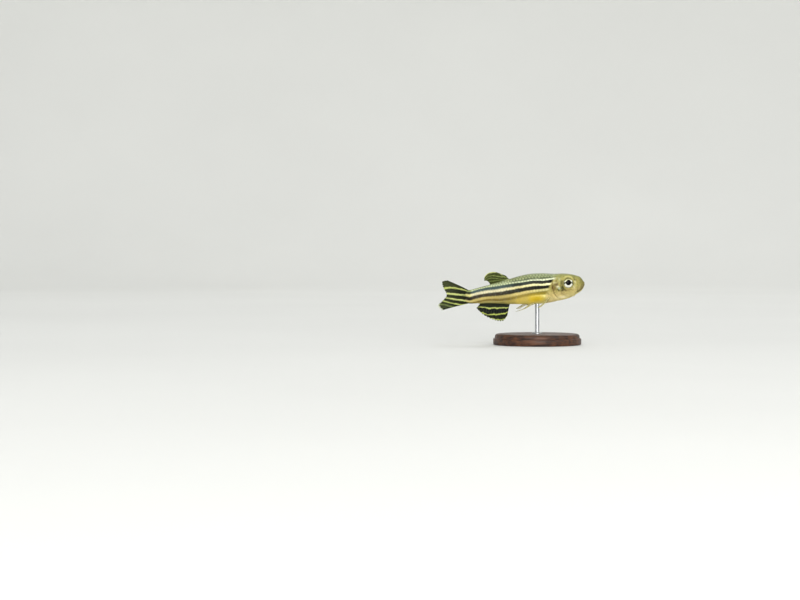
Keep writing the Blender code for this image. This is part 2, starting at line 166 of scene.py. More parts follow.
frames = spineFrames()


def bent(point):
    s = -point.x
    at = min(max(s, 0.0) / spine["step"], len(frames) - 2.001)
    i = int(at)
    place, forward, left, up = (a.lerp(b, at - i) for a, b in zip(frames[i], frames[i + 1]))
    return place - forward * min(s, 0.0) + left * point.y + up * point.z


belly = bent(section(spine["rodAt"], math.pi))
overStand = Vector((-belly.x, -belly.y, spine["bellyHeight"] - belly.z))


def posed(point):
    # in metres, with the belly over the middle of the base
    return (bent(point) + overStand) * mm


# camera at the photograph's angle and framing
view = {"lens": 90.0, "sensor": 36, "distance": 0.545, "width": 0.218, "elevation": 1.5,
        "pixels": 800, "snoutRight": 184, "snoutUp": 17}     # across, and from the middle


def addCamera():
    metresPerPixel = view["width"] / view["pixels"]
    tilt = math.radians(view["elevation"])
    forward = Vector((0, math.cos(tilt), -math.sin(tilt)))
    target = posed(Vector((0, 0, 0))) - Vector(
        (view["snoutRight"] * metresPerPixel, 0, view["snoutUp"] * metresPerPixel))
    data = bpy.data.cameras.new("camera")
    data.lens = view["lens"]
    data.sensor_width = view["sensor"]
    data.clip_start = 0.01
    camera = bpy.data.objects.new("camera", data)
    camera.location = target - forward * view["distance"]
    camera.rotation_euler = forward.to_track_quat("-Z", "Y").to_euler()
    bpy.context.scene.collection.objects.link(camera)
    bpy.context.scene.camera = camera


addCamera()
print("camera set")


# relief of the head
head = {
    "eye": (4.4, 0.95),              # s and z of the middle
    "eyeReach": 1.42,                # crest of the ring of skin round the socket
    "socketDepth": 0.8,
    "mouthEnd": (2.2, -1.95), "mouthCurve": 1.5,
    "gillTurn": (42, 176),           # angles at the ends of the gill covers' edge
    "throatTurn": 146, "throatRun": 2.6,     # from this angle it runs forwards, this far
    "nostrils": ((1.95, 1.35, 0.15), (2.5, 1.5, 0.19)),      # s, z and radius
    "nostrilRim": 0.04, "nostrilDepth": 0.17,
    "barbels": (((0.75, -0.3), 1.2), ((2.38, -1.7), 2.0)),   # s and z of the root, length
    "preopercle": ((6.2, 1.7), (6.6, 0.6), (6.6, -0.8), (6.15, -1.9), (5.2, -2.7), (4.1, -3.0)),
    "subopercle": ((6.7, -2.0), (7.6, -2.25), (8.6, -2.0)),
    "maxilla": ((1.35, -0.1), (1.85, -0.85), (2.5, -1.65), (3.1, -2.25)),
    "jaw": ((0.9, -1.45), (1.7, -2.02), (2.6, -2.55), (3.6, -2.98), (4.6, -3.3)),
    "gillRays": (((4.6, -3.35), (6.2, -3.42), (7.6, -3.1)),
                 ((4.3, -3.2), (5.9, -3.1), (7.5, -2.75))),
    "snout": (1.05, 0.7, 0.24),      # s, reach and height of the blunt snout
    "cheek": (7.5, -0.3, 1.0, 1.6, 0.1),     # s, z, reach along s and z, and height
    "plate": (0.07, 0.5), "cover": (0.1, 0.9),       # height and reach of each gill plate
}
# ridges, and grooves below 0, along the lines above: height, place across the line and width
ridges = {
    "lids": ((0.085, 1.45, 0.11), (0.035, 2.15, 0.15), (-0.03, 1.82, 0.13)),
    "lips": ((0.12, 0.24, 0.14), (-0.06, 0.55, 0.11), (0.15, -0.27, 0.16), (-0.06, -0.62, 0.12)),
    "mouth": ((-0.24, 0.0, 0.07),),
    "maxilla": ((0.07, 0.0, 0.16),), "underMaxilla": ((-0.05, -0.26, 0.09),),
    "jaw": ((-0.07, 0.0, 0.09),),
    "preopercle": ((-0.07, 0.1, 0.11),),
    "subopercle": ((-0.05, 0.0, 0.08),),
    "gillRays": ((0.035, 0.0, 0.14),),
    "slit": ((-0.12, 0.1, 0.2),), "shoulder": ((0.04, 0.75, 0.25),),
}
# painted shade in the head's grooves along the same lines, given in the same way with its strength
# for the height
shadeLines = {
    "mouth": ((0.95, 0.0, 0.17), (0.6, 0.2, 0.32)), "eye": ((0.12, 1.3, 0.12),),
    "maxilla": ((0.25, -0.2, 0.14),), "gills": ((0.16, 0.12, 0.13),),
    "preopercle": ((0.1, 0.08, 0.13),),
}


def lineOver(points, outwards):
    # tells how far a place lies from a line over the skin, and how far along the line;
    # the distance is above 0 over a line that runs back, and behind one that runs down
    tree = kdtree.KDTree(len(points))
    across = []
    for i, point in enumerate(points):
        tree.insert(point, i)
        along = points[min(i + 1, len(points) - 1)] - points[max(i - 1, 0)]
        across.append(outwards[i].cross(along).normalized())
    tree.balance()

    def near(place):
        spot, i, gap = tree.find(place)
        return math.copysign(gap, (place - spot).dot(across[i])), i / (len(points) - 1)
    return near


def skinLine(places):
    # through places given as s and angle
    return lineOver([section(*place) for place in places],
                    [skinNormal(*place) for place in places])


def flankLine(places, count=240):
    # through places given as s and z
    rows = [(i / (len(places) - 1), *place) for i, place in enumerate(places)]
    at = [throughRows(rows, i / (count - 1)) for i in range(count)]
    return skinLine([(s, angleAt(s, z)) for s, z in at])


def mouthLine(count=320):
    places = []
    for i in range(count):
        share = i / (count - 1)
        s = head["mouthEnd"][0] * share ** 2 + 0.0004
        places.append((s, angleAt(s, head["mouthEnd"][1] * share ** head["mouthCurve"])))
    return skinLine(places)


def gillEdge(count=460):
    # down the flank, then forwards under the throat
    places = []
    start, end = head["gillTurn"]
    for i in range(count):
        share = i / (count - 1)
        angle = math.radians(start + (end - start) * min(share / 0.88, 1.0) ** 0.96)
        under = ease(math.degrees(angle), head["throatTurn"], end)
        places.append((gillLine(angle) - head["throatRun"] * under, angle))
    return skinLine(places)


eyeAngle = angleAt(*head["eye"])
eyeOut = skinNormal(head["eye"][0], eyeAngle)
eyeTurn = eyeOut.to_track_quat("Z", "Y").to_matrix()
eyePlace = skinAt(head["eye"][0], eyeAngle)
mouth = mouthLine()
gills = gillEdge()
preopercle = flankLine(head["preopercle"])
subopercle = flankLine(head["subopercle"])
maxilla = flankLine(head["maxilla"])
jaw = flankLine(head["jaw"])
gillRays = [flankLine(line) for line in head["gillRays"]]
nostrils = [(section(s, angleAt(s, z)), radius) for s, z, radius in head["nostrils"]]


def eyeDistance(place):
    inEye = eyeTurn.transposed() @ (place - eyePlace)
    return math.hypot(inEye.x, inEye.y), math.atan2(inEye.x, inEye.y)


def humps(rows, x):
    return sum(height * hump(x - at, width) for height, at, width in rows)


def proudBefore(name, x):
    # a plate that stands proud up to its rear edge
    height, reach = head[name]
    return height * hump(min(x, 0.0), reach)


def within(share, start, end):
    # fades in up to start and out after end
    return ease(share, 0, start) * (1 - ease(share, end, 1))


def headRelief(place):
    # place is on the left side, whichever side is being shaped
    lift = 0.0
    reach = head["eyeReach"]
    r = eyeDistance(place)[0]
    if r < 3:
        lift += humps(ridges["lids"], r)
        lift -= head["socketDepth"] * (1 - ease(r, reach - 0.24, reach - 0.02))
    x, share = mouth(place)
    if abs(x) < 1.2:
        lift += humps(ridges["lips"], x) * (1 - ease(share, 0.9, 1.0))
        lift += humps(ridges["mouth"], x) * (1 - 0.7 * ease(share, 0.96, 1.0))
    x, share = maxilla(place)
    lift += humps(ridges["maxilla"], x) * ease(share, 0.0, 0.3)
    lift += humps(ridges["underMaxilla"], x) * ease(share, 0.3, 0.7)
    x, share = jaw(place)
    lift += humps(ridges["jaw"], x) * within(share, 0.15, 0.8)
    x, share = preopercle(place)
    plate = proudBefore("plate", x) * (1 - ease(x, -0.02, 0.1))
    lift += (plate + humps(ridges["preopercle"], x)) * within(share, 0.12, 0.85)
    x, share = subopercle(place)
    lift += humps(ridges["subopercle"], x) * within(share, 0.2, 0.8)
    for line in gillRays:
        x, share = line(place)
        lift += humps(ridges["gillRays"], x) * within(share, 0.3, 0.7)
    for spot, radius in nostrils:
        r = (place - spot).length
        rim, pit = hump(r - radius * 1.35, 0.07), 1 - ease(r, radius * 0.5, radius * 1.15)
        lift += head["nostrilRim"] * rim - head["nostrilDepth"] * pit
    at, z, long, tall, height = head["cheek"]
    lift += height * hump(-place.x - at, long) * hump(place.z - z, tall)
    at, long, height = head["snout"]
    return lift + height * hump(-place.x - at, long)


def gillRelief(place):
    # the gill cover, with a slit behind it
    x, share = gills(place)
    proud = proudBefore("cover", x)
    behind = humps(ridges["slit"], max(x, 0.1)) + humps(ridges["shoulder"], x)
    return within(share, 0.1, 0.9) * (proud + (behind - proud) * ease(x, -0.02, 0.07))


# start and end of the fins on the back and belly, and s and angle of the paired ones, in degrees
finBases = {"dorsal": (20.3, 25.4), "anal": (20.9, 29.1),
            "pectoral": (10.45, 125), "pelvic": (15.3, 160)}
finRoots = {"ridge": 0.24, "ridgeHalf": 0.36,    # flesh under the fins of the back and belly
            "vent": (20.1, 0.13, 0.28),          # s, height and reach
            "pad": 0.2, "padReach": 0.5}         # flesh round the paired fins


def finRidge(s, place, start, end, run):
    along = ease(s, start - 0.5, start + 0.1) * (1 - ease(s, end - 0.3, end + run))
    return finRoots["ridge"] * along * hump(place.y, finRoots["ridgeHalf"])


def finRelief(s, angle, place):
    # flesh that rises over the roots of the fins
    lift = 0.0
    if angle < 1.2:
        lift += finRidge(s, place, *finBases["dorsal"], 0.6)
    if angle > 2.0:
        lift += finRidge(s, place, *finBases["anal"], 0.7)
        at, height, reach = finRoots["vent"]
        lift += height * hump((place - section(at, math.pi)).length, reach)
    for name in ("pectoral", "pelvic"):
        at, turn = finBases[name]
        if abs(s - at) < 1.5:
            away = (place - section(at, math.radians(turn))).length
            lift += finRoots["pad"] * hump(away, finRoots["padReach"])
    return lift


def reliefAt(s, angle):
    angle = abs(math.remainder(angle, math.tau))
    place = section(s, angle)
    lift = finRelief(s, angle, place)
    if s < 9.2:
        lift += headRelief(place)
    if 2.5 < s < 10.8:
        lift += gillRelief(place)
    return lift


# markings, told at each point of skin and scales
markings = {
    "stripes": (                     # s, then the middle of each stripe as a share of the height
        (7.8, 0.885, 0.835, 0.735, 0.625, 0.530, 0.440, 0.34),
        (10.7, 0.823, 0.770, 0.675, 0.595, 0.502, 0.418, 0.308),
        (13.6, 0.829, 0.784, 0.681, 0.580, 0.483, 0.392, 0.31),
        (17.4, 0.832, 0.774, 0.667, 0.552, 0.438, 0.327, 0.22),
        (22.8, 0.934, 0.816, 0.665, 0.494, 0.335, 0.186, 0.06),
        (27.0, 0.955, 0.855, 0.665, 0.469, 0.305, 0.170, 0.06),
        (30.0, 0.950, 0.840, 0.660, 0.440, 0.235, 0.060, 0.03),
        (31.4, 0.932, 0.812, 0.633, 0.390, 0.165, 0.040, 0.02),
        (32.7, 0.930, 0.805, 0.640, 0.395, 0.170, 0.040, 0.02)),
    "starts": ((0.0, 10.9), (0.30, 10.9), (0.43, 10.5), (0.51, 9.9), (0.60, 9.7), (0.70, 9.1),
               (0.82, 8.5), (0.885, 7.9), (1.0, 7.3)),         # share of the height, s
    "belly": (13.6, -2.3, 2.1, 1.15),                         # s, z and reach of the golden patch
    "lip": (-0.4, 0.26),             # pale line, and its width, below the mouth
    "arc": (1.8, 0.2, 0.25),         # pale arc over the eye: distance, width and turn
    # olive and brown are partly the head's own marks and partly painted shade round the eye and
    # gill cover; pale and teal are partly painted highlights on the gill cover
    # blotches of the head: s, z, reach along s and along z, strength
    "olive": ((6.2, 0.5, 0.5, 1.5, 0.75), (6.3, -0.3, 0.5, 0.6, 0.85),
              (5.75, -0.75, 0.6, 0.3, 0.8), (2.75, 1.85, 0.42, 0.6, 0.6),
              (0.8, 0.5, 0.75, 1.4, 0.62), (7.5, 1.0, 0.36, 0.36, 1.0),
              (3.1, 0.7, 0.2, 0.5, 0.35), (1.75, 0.5, 0.16, 0.7, 0.35),
              (2.0, -1.1, 0.2, 0.5, 0.4), (4.4, 2.32, 0.85, 0.12, 0.5),
              (7.3, -0.75, 0.3, 0.28, 0.9), (6.1, 1.5, 0.3, 0.5, 0.5),
              (7.5, 1.9, 0.4, 0.3, 0.55), (7.5, -0.35, 0.35, 0.28, 0.9),
              (6.6, -1.6, 0.3, 0.3, 0.35)),
    "brown": ((8.5, 0.15, 0.75, 1.15, 0.8), (8.75, 0.55, 0.4, 0.6, 0.5),
              (7.6, 1.0, 0.42, 0.36, 1.0), (7.7, 1.9, 0.22, 0.2, 0.5),
              (4.9, -0.92, 1.0, 0.18, 0.9), (5.7, -2.0, 0.6, 0.45, 0.3)),
    "pale": ((7.4, 0.36, 0.36, 0.24, 0.55), (8.2, 1.6, 0.4, 0.22, 0.3),
             (2.55, 0.9, 0.22, 0.55, 0.28), (3.0, -0.4, 0.3, 0.5, 0.3), (8.1, 2.45, 0.5, 0.2, 0.4),
             (6.4, -2.7, 1.2, 0.28, 0.45)),
    "teal": ((7.02, -0.15, 0.3, 0.25, 0.95), (6.75, 2.3, 0.35, 0.5, 0.25)),
}


@lru_cache(maxsize=None)
def stripesAt(s):
    return (1.0, *throughRows(markings["stripes"], s), 0.0)


def headMarks(s, place):
    # the painted shade of the grooves and pits, and the blotches
    r, turn = eyeDistance(place)
    x, along = mouth(place)
    at, width = markings["lip"]
    marks = {"lip": hump(x - at, width) * (1 - ease(along, 0.85, 1.0))}
    at, width, lean = markings["arc"]
    marks["arc"] = hump(r - at, width) * ease(math.cos(turn + lean), 0.6, 0.95)
    shade = humps(shadeLines["mouth"], x) + humps(shadeLines["eye"], r)
    # painted shade in the nostril pits
    for spot, radius in nostrils:
        shade += 0.55 * (1 - ease((place - spot).length, radius * 0.5, radius * 1.25))
    x, along = maxilla(place)
    shade += humps(shadeLines["maxilla"], x) * ease(along, 0.3, 0.9)
    x, along = gills(place)
    faint = ease(along, 0.0, 0.12) * (1 - ease(along, 0.75, 0.95))
    shade += humps(shadeLines["gills"], x) * faint
    x, along = preopercle(place)
    shade += humps(shadeLines["preopercle"], x) * (1 - ease(along, 0.7, 1))
    marks["shade"] = min(shade, 1.0)
    # olive and brown partly painted shade, pale and teal partly painted highlights
    for name in ("olive", "brown", "pale", "teal"):
        marks[name] = min(sum(
            strong * math.exp(-((s - at) / long) ** 2 - ((place.z - z) / tall) ** 2)
            for at, z, long, tall, strong in markings[name]), 1.0)
    return marks


def paintAt(s, angle):
    # stripe counts 0 on the back, odd in the light stripes, even in the dark, 8 under the belly
    angle = abs(math.remainder(angle, math.tau))
    place = section(s, angle)
    top, bottom = bodyAt(s)[:2]
    share = (place.z - bottom) / max(top - bottom, 0.001)
    lines = stripesAt(round(s, 2))
    k = 0
    while k < 7 and share < lines[k + 1]:
        k += 1
    across = (lines[k] - share) / max(lines[k] - lines[k + 1], 0.001)
    start = throughRows(markings["starts"], share)[0]
    soft = 0.35 + 0.95 * ease(share, 0.86, 0.96)         # the nape fades into the head
    marks = {"stripe": k + min(max(across, 0.0), 1.0), "along": s, "height": share,
             "striped": ease(s, start - soft, start + soft)}
    at, z, long, tall = markings["belly"]
    marks["golden"] = math.exp(-((s - at) / long) ** 4 - ((place.z - z) / tall) ** 4)
    if s < 10.5:
        marks.update(headMarks(s, place))
    else:
        marks.update(dict.fromkeys(("lip", "arc", "shade", "olive", "brown", "pale", "teal"), 0.0))
    return marks


def writeAttributes(mesh, rows):
    for name in rows[0]:
        layer = mesh.attributes.new(name, "FLOAT", "POINT")
        layer.data.foreach_set("value", [row[name] for row in rows])


# shared work on meshes
def deselectAll():
    if bpy.context.object and bpy.context.object.mode != "OBJECT":
        bpy.ops.object.mode_set(mode="OBJECT")
    bpy.ops.object.select_all(action="DESELECT")


def newPiece(name, points, faces):
    mesh = bpy.data.meshes.new(name)
    mesh.from_pydata(points, [], faces)
    shape = bmesh.new()
    shape.from_mesh(mesh)
    bmesh.ops.recalc_face_normals(shape, faces=shape.faces)
    shape.to_mesh(mesh)
    shape.free()
    mesh.shade_smooth()
    piece = bpy.data.objects.new(name, mesh)
    bpy.context.scene.collection.objects.link(piece)
    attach(piece, "root")
    return piece


def drawOut(profile, extrude):
    # the selected ring is drawn out to the radius and height of each row
    radius, height = profile[0]
    for nextRadius, nextHeight in profile[1:]:
        extrude(TRANSFORM_OT_translate={"value": (0, 0, nextHeight - height)})
        grow = nextRadius / radius
        bpy.ops.transform.resize(value=(grow, grow, 1), center_override=(0, 0, 0))
        radius, height = nextRadius, nextHeight


def turned(name, profile, sides):
    # a ring drawn out again and again, then closed at both ends
    deselectAll()
    bpy.ops.mesh.primitive_circle_add(
        vertices=sides, radius=profile[0][0], fill_type="NOTHING", location=(0, 0, 0))
    piece = bpy.context.object
    piece.name = piece.data.name = name
    bpy.ops.object.mode_set(mode="EDIT")
    bpy.ops.mesh.select_all(action="SELECT")
    bpy.ops.transform.translate(value=(0, 0, profile[0][1]))
    drawOut(profile, bpy.ops.mesh.extrude_region_move)
    bpy.ops.mesh.edge_face_add()
    bpy.ops.mesh.select_all(action="DESELECT")
    bpy.ops.object.mode_set(mode="OBJECT")
    for i in range(sides):                     # the first ring
        piece.data.vertices[i].select = True
    bpy.ops.object.mode_set(mode="EDIT")
    bpy.ops.mesh.select_mode(type="VERT")
    bpy.ops.mesh.edge_face_add()
    bpy.ops.mesh.select_all(action="SELECT")
    bpy.ops.mesh.normals_make_consistent(inside=False)
    bpy.ops.object.mode_set(mode="OBJECT")
    piece.data.shade_smooth()
    return piece


# materials
def linear(code):
    # from a six-figure colour code
    values = [int(code[i:i + 2], 16) / 255 for i in (0, 2, 4)]
    return *(v / 12.92 if v <= 0.04045 else ((v + 0.055) / 1.055) ** 2.4 for v in values), 1.0


def put(tree, socket, value):
    if isinstance(value, bpy.types.NodeSocket):
        tree.links.new(value, socket)
    else:
        socket.default_value = value


def feed(tree, node, **values):
    # an underscore stands for the space in an input's name
    for label, value in values.items():
        put(tree, node.inputs[label.replace("_", " ")], value)
    return node.outputs


def maths(tree, operation, a, b=0.0, clamp=False):
    node = tree.nodes.new("ShaderNodeMath")
    node.operation = operation
    node.use_clamp = clamp
    put(tree, node.inputs[0], a)
    put(tree, node.inputs[1], b)
    return node.outputs[0]


def product(tree, *values):
    total = values[0]
    for value in values[1:]:
        total = maths(tree, "MULTIPLY", total, value)
    return total


def mixed(tree, factor, a, b):
    node = tree.nodes.new("ShaderNodeMix")
    node.data_type = "RGBA"
    put(tree, node.inputs[0], factor)
    put(tree, node.inputs[6], a)
    put(tree, node.inputs[7], b)
    return node.outputs[2]


def spread(tree, value, low, high, newLow=0.0, newHigh=1.0, smooth=True):
    node = tree.nodes.new("ShaderNodeMapRange")
    node.interpolation_type = "SMOOTHSTEP" if smooth else "LINEAR"
    return feed(tree, node, Value=value, From_Min=low, From_Max=high,
                To_Min=newLow, To_Max=newHigh)["Result"]


def told(tree, name):
    node = tree.nodes.new("ShaderNodeAttribute")
    node.attribute_name = name
    return node.outputs["Fac"]


def ramp(tree, factor, stops):
    node = tree.nodes.new("ShaderNodeValToRGB")
    elements = node.color_ramp.elements
    while len(elements) < len(stops):
        elements.new(0.5)
    for i, stop in enumerate(stops):
        elements[i].position = stop[0]
    for i, stop in enumerate(stops):
        elements[i].color = stop[1]
    put(tree, node.inputs[0], factor)
    return node.outputs["Color"]


def noiseAt(tree, place, scale, detail=2.0, roughness=0.5):
    node = tree.nodes.new("ShaderNodeTexNoise")
    return feed(tree, node, Vector=place, Scale=scale, Detail=detail, Roughness=roughness)["Fac"]


def objectPlace(tree, stretch=None, turn=(0, 0, 0)):
    place = tree.nodes.new("ShaderNodeTexCoord").outputs["Object"]
    if not stretch:
        return place
    node = tree.nodes.new("ShaderNodeMapping")
    return feed(tree, node, Vector=place, Scale=stretch, Rotation=turn)["Vector"]


def newGroup(name, inputs, outputs):
    group = bpy.data.node_groups.new(name, "ShaderNodeTree")
    for way, sockets in (("INPUT", inputs), ("OUTPUT", outputs)):
        for label, kind in sockets:
            group.interface.new_socket(name=label, in_out=way, socket_type="NodeSocket" + kind)
    return group, group.nodes.new("NodeGroupInput"), group.nodes.new("NodeGroupOutput")


def newMaterial(name, **values):
    made = bpy.data.materials.new(name)
    made.use_nodes = True
    shader = made.node_tree.nodes["Principled BSDF"]
    feed(made.node_tree, shader, **values)
    return made, made.node_tree, shader


def useGroup(tree, group, **values):
    node = tree.nodes.new("ShaderNodeGroup")
    node.node_tree = group
    return feed(tree, node, **values)


def bumped(tree, height, strength, distance):
    node = tree.nodes.new("ShaderNodeBump")
    return feed(tree, node, Strength=strength, Distance=distance, Height=height)["Normal"]


paint = {
    # colours across the stripes: one place or more, from 0 on the back to 8 under the belly,
    # and the colour there
    # the palest colours under the belly in the front and middle rows are partly the belly's own
    # colour and partly painted light on the underside
    "front": ((0, 0.5, "9AA378"), (0.6, 0.73, "5C6547"), (0.86, 1.24, "DFE4C0"),
              (1.42, 2.52, "0E0F07"), (2.76, 3.26, "DAD59E"), (3.44, 4.4, "10100A"),
              (4.68, 5.15, "D3CA8A"), (5.6, 6.5, "8C7E34"), (6.8, 7.08, "F2EA9C"),
              (7.32, "CFC268"), (7.65, "EEE38C"), (8, "FFF6A4")),
    "middle": ((0, 0.5, "979F70"), (0.62, 0.75, "636E50"), (0.88, 1.22, "C8D0A4"),
               (1.45, 2.52, "1E2824"), (2.82, 3.2, "DED499"), (3.45, 4.42, "26241C"),
               (4.72, "E2CE84"), (5.1, "DCC87E"), (5.6, 6.1, "94823C"), (6.6, "C4AC54"),
               (7.3, "DCC562"), (8, "F4E27A")),
    "rear": ((0, 0.25, "8E9768"), (0.6, 1.25, "CCD6A6"), (1.6, 2.35, "45585A"),
             (2.7, 3.2, "E2D9B2"), (3.52, 4.32, "3E372A"), (4.68, 5.2, "C0AD66"),
             (5.7, 6.15, "7E6C34"), (6.6, "B0A05C"), (7.3, "A89C58"), (8, "7C7848")),
    "root": ((0, "59663A"), (0.5, 1.2, "8E9A60"), (1.5, 2.35, "2B3020"), (2.65, 3.3, "E2DA8C"),
             (3.55, 4.45, "231F16"), (4.75, 5.3, "C9BB76"), (5.7, "2B3014"), (8, "3A4420")),
    # the part of the fish where each of them takes over from the one before
    "runs": (("front", 0, 0), ("middle", 12, 17), ("rear", 17.5, 23), ("root", 30.2, 31.6)),
    # the throat and the low head are pale partly in their own colour and partly as painted light
    # on the underside
    "headTop": "868853", "headSide": "AEA35C", "headLow": "CFB97A", "throat": "F8E6A0",
    # colours laid over these
    "mottle": "7C7A40", "golden": "DAB81A", "cheek": "8E8448", "lip": "CBC28A", "arc": "CFC57E",
    # shade is painted shade in the head's grooves; olive and brown partly painted shade, pale and
    # teal partly painted highlights
    "shade": "3A3318", "freckle": "2A2A1C", "net": "3E4630", "olive": "3E3E1E", "brown": "5E4426",
    "pale": "F4F1D8", "teal": "B2CDBC", "sheen": "93A6A4",
    "cells": 7500,
}
# scale, detail and roughness of the noise that breaks it up
paintNoise = {
    "wobble": (2600, 3.0, 0.6), "fine": (9000, 2.0, 0.6), "mottle": (1700, 3.0, 0.6),
    "blotch": (1900, 3.0, 0.6), "patch": (900, 2.0, 0.5), "tint": (420, 3.0, 0.5),
    "finish": (3200, 3.0, 0.5), "grain": (5200, 3.0, 0.6), "gleam": (1300, 2.0, 0.5),
}


def danioPaint():
    # colour and finish that skin, scales and barbels share
    group, given, sent = newGroup(
        "danio paint", (("Net", "Float"), ("Sheen", "Float")),
        (("Color", "Color"), ("Roughness", "Float"), ("Metallic", "Float"), ("Grain", "Float")))
    place = objectPlace(group)
    along, height = told(group, "along"), told(group, "height")

    def cloud(name):
        return noiseAt(group, place, *paintNoise[name])

    def laid(colour, name, mask):
        return mixed(group, mask, colour, linear(paint[name]))

    stripe = told(group, "stripe")
    for name, share in (("wobble", 0.5), ("fine", 0.35)):
        off = maths(group, "SUBTRACT", cloud(name), 0.5)
        stripe = maths(group, "ADD", stripe, product(group, off, share))
    stripe = maths(group, "DIVIDE", stripe, 8.0)
    striped = None
    for name, start, end in paint["runs"]:
        across = ramp(group, stripe, [
            (spot / 8, linear(code)) for *spots, code in paint[name] for spot in spots])
        if striped:
            across = mixed(group, spread(group, along, start, end), striped, across)
        striped = across
    striped = laid(striped, "sheen", given.outputs["Sheen"])
    # colour by height, the pale throat partly painted light on the underside
    bare = ramp(group, height, [(spot, linear(paint[name])) for spot, name in (
        (0.0, "throat"), (0.12, "throat"), (0.3, "headLow"), (0.5, "headSide"),
        (0.82, "headSide"), (0.99, "headTop"))])
    mottle = product(group, spread(group, cloud("mottle"), 0.42, 0.62, 0.0, 0.7),
                     spread(group, height, 0.12, 0.5, 0.25, 1.0))
    bare = laid(bare, "mottle", mottle)
    cheek = product(group, spread(group, height, 0.15, 0.55, 0.55, 0.0),
                    spread(group, along, 4.5, 8.0, 1.0, 0.0))
    bare = laid(bare, "cheek", cheek)
    colour = mixed(group, told(group, "striped"), bare, striped)
    broken = spread(group, cloud("blotch"), 0.35, 0.6, 0.55, 1.0)      # edges of the blotches
    # shade lays painted shade, olive and brown partly painted shade, pale and teal partly painted
    # highlights
    for name, strength in (("golden", 0.85), ("olive", broken), ("brown", broken),
                           ("teal", broken), ("pale", broken),
                           ("lip", 0.95), ("arc", 0.75), ("shade", 0.85)):
        colour = laid(colour, name, product(group, told(group, name), strength))
    # pigment cells, close together on the back and sparse below
    cells = group.nodes.new("ShaderNodeTexVoronoi")
    gap = feed(group, cells, Vector=place, Scale=paint["cells"])["Distance"]
    dots = maths(group, "SUBTRACT", 1.0, spread(group, gap, 0.16, 0.34))
    upper = spread(group, height, 0.45, 0.95, 0.05, 0.42)
    patchy = spread(group, cloud("patch"), 0.35, 0.6, 0.3, 1.0)
    colour = laid(colour, "freckle", product(group, dots, upper, patchy))
    colour = laid(colour, "net", given.outputs["Net"])
    vary = group.nodes.new("ShaderNodeHueSaturation")
    tint = spread(group, cloud("tint"), 0.3, 0.7, 0.9, 1.08)
    bright = group.nodes.new("ShaderNodeRGBToBW")
    feed(group, bright, Color=colour)
    feed(group, sent,
         Color=feed(group, vary, Value=tint, Color=colour)["Color"],
         Roughness=spread(group, cloud("finish"), 0.3, 0.7, 0.3, 0.44),
         Metallic=spread(group, bright.outputs["Val"], 0.25, 0.8, 0.0, 0.3),
         Grain=maths(group, "ADD", cloud("grain"), product(group, dots, 0.2)))
    return group


def skinMaterial(name, group, scaly):
    made, tree, shader = newMaterial(
        name, Coat_Weight=0.1, Coat_Roughness=0.12, Coat_IOR=1.33, IOR=1.33,
        Specular_IOR_Level=0.14)
    if scaly:
        # fine rings and rays of each scale, and its dark rear edge on the back
        margin, height = told(tree, "margin"), told(tree, "height")
        rings = maths(tree, "SINE", product(tree, told(tree, "out"), 95.0))
        rays = maths(tree, "SINE", product(tree, told(tree, "across"), 24.0))
        upper = maths(tree, "ADD", spread(tree, height, 0.68, 0.9, 0.05, 0.45),
                      spread(tree, height, 0.3, 0.5, 0.0, 0.2))
        # a bluish gleam in the middle of some scales of the rear half
        gleam = noiseAt(tree, objectPlace(tree), *paintNoise["gleam"])
        gleam = product(tree, spread(tree, gleam, 0.5, 0.68, 0.0, 0.24),
                        spread(tree, told(tree, "along"), 14, 22),
                        spread(tree, margin, 0.6, 0.95, 1.0, 0.0))
        net = product(tree, spread(tree, margin, 0.66, 0.98), upper)
        outs = useGroup(tree, group, Net=net, Sheen=gleam)
        relief = maths(tree, "ADD", product(tree, rings, 0.5), product(tree, rays, 0.35))
        relief = maths(tree, "ADD", product(tree, relief, 0.5), outs["Grain"])
    else:
        outs = useGroup(tree, group, Net=0.0, Sheen=0.0)
        relief = outs["Grain"]
    feed(tree, shader, Base_Color=outs["Color"], Roughness=outs["Roughness"],
         Metallic=outs["Metallic"], Normal=bumped(tree, relief, 0.35, 0.00002))
    return made


bodyPaint = danioPaint()
skinPaint = skinMaterial("fish skin", bodyPaint, False)
scalePaint = skinMaterial("fish scales", bodyPaint, True)


# skin, in one piece from the lips to the tail root
skinForm = {"sides": 208, "snoutStep": 0.03, "snoutEnd": 1.44, "headStep": 0.055, "headEnd": 9.7,
            "bodyStep": 0.17, "tailStep": 0.11}


def ringPlaces():
    places = []
    u = skinForm["snoutStep"]
    while u * u < skinForm["snoutEnd"]:
        places.append(u * u)
        u += skinForm["snoutStep"]
    s = places[-1]
    while s < skinForm["headEnd"]:
        s += skinForm["headStep"]
        places.append(s)
    while s < fish["tailRoot"]:
        s += skinForm["bodyStep"]
        places.append(s)
    end = fish["tailRoot"] + fish["tailWedge"]
    while s + skinForm["tailStep"] < end:
        s += skinForm["tailStep"]
        places.append(s)
    return places


def wedgeBack(s, angle):
    # the flesh ends in a curve over the tail fin, furthest back in the middle
    past = max(s - fish["tailRoot"], 0.0) / fish["tailWedge"]
    return s - fish["wedgeCurve"] * past * abs(math.cos(angle)) ** 2


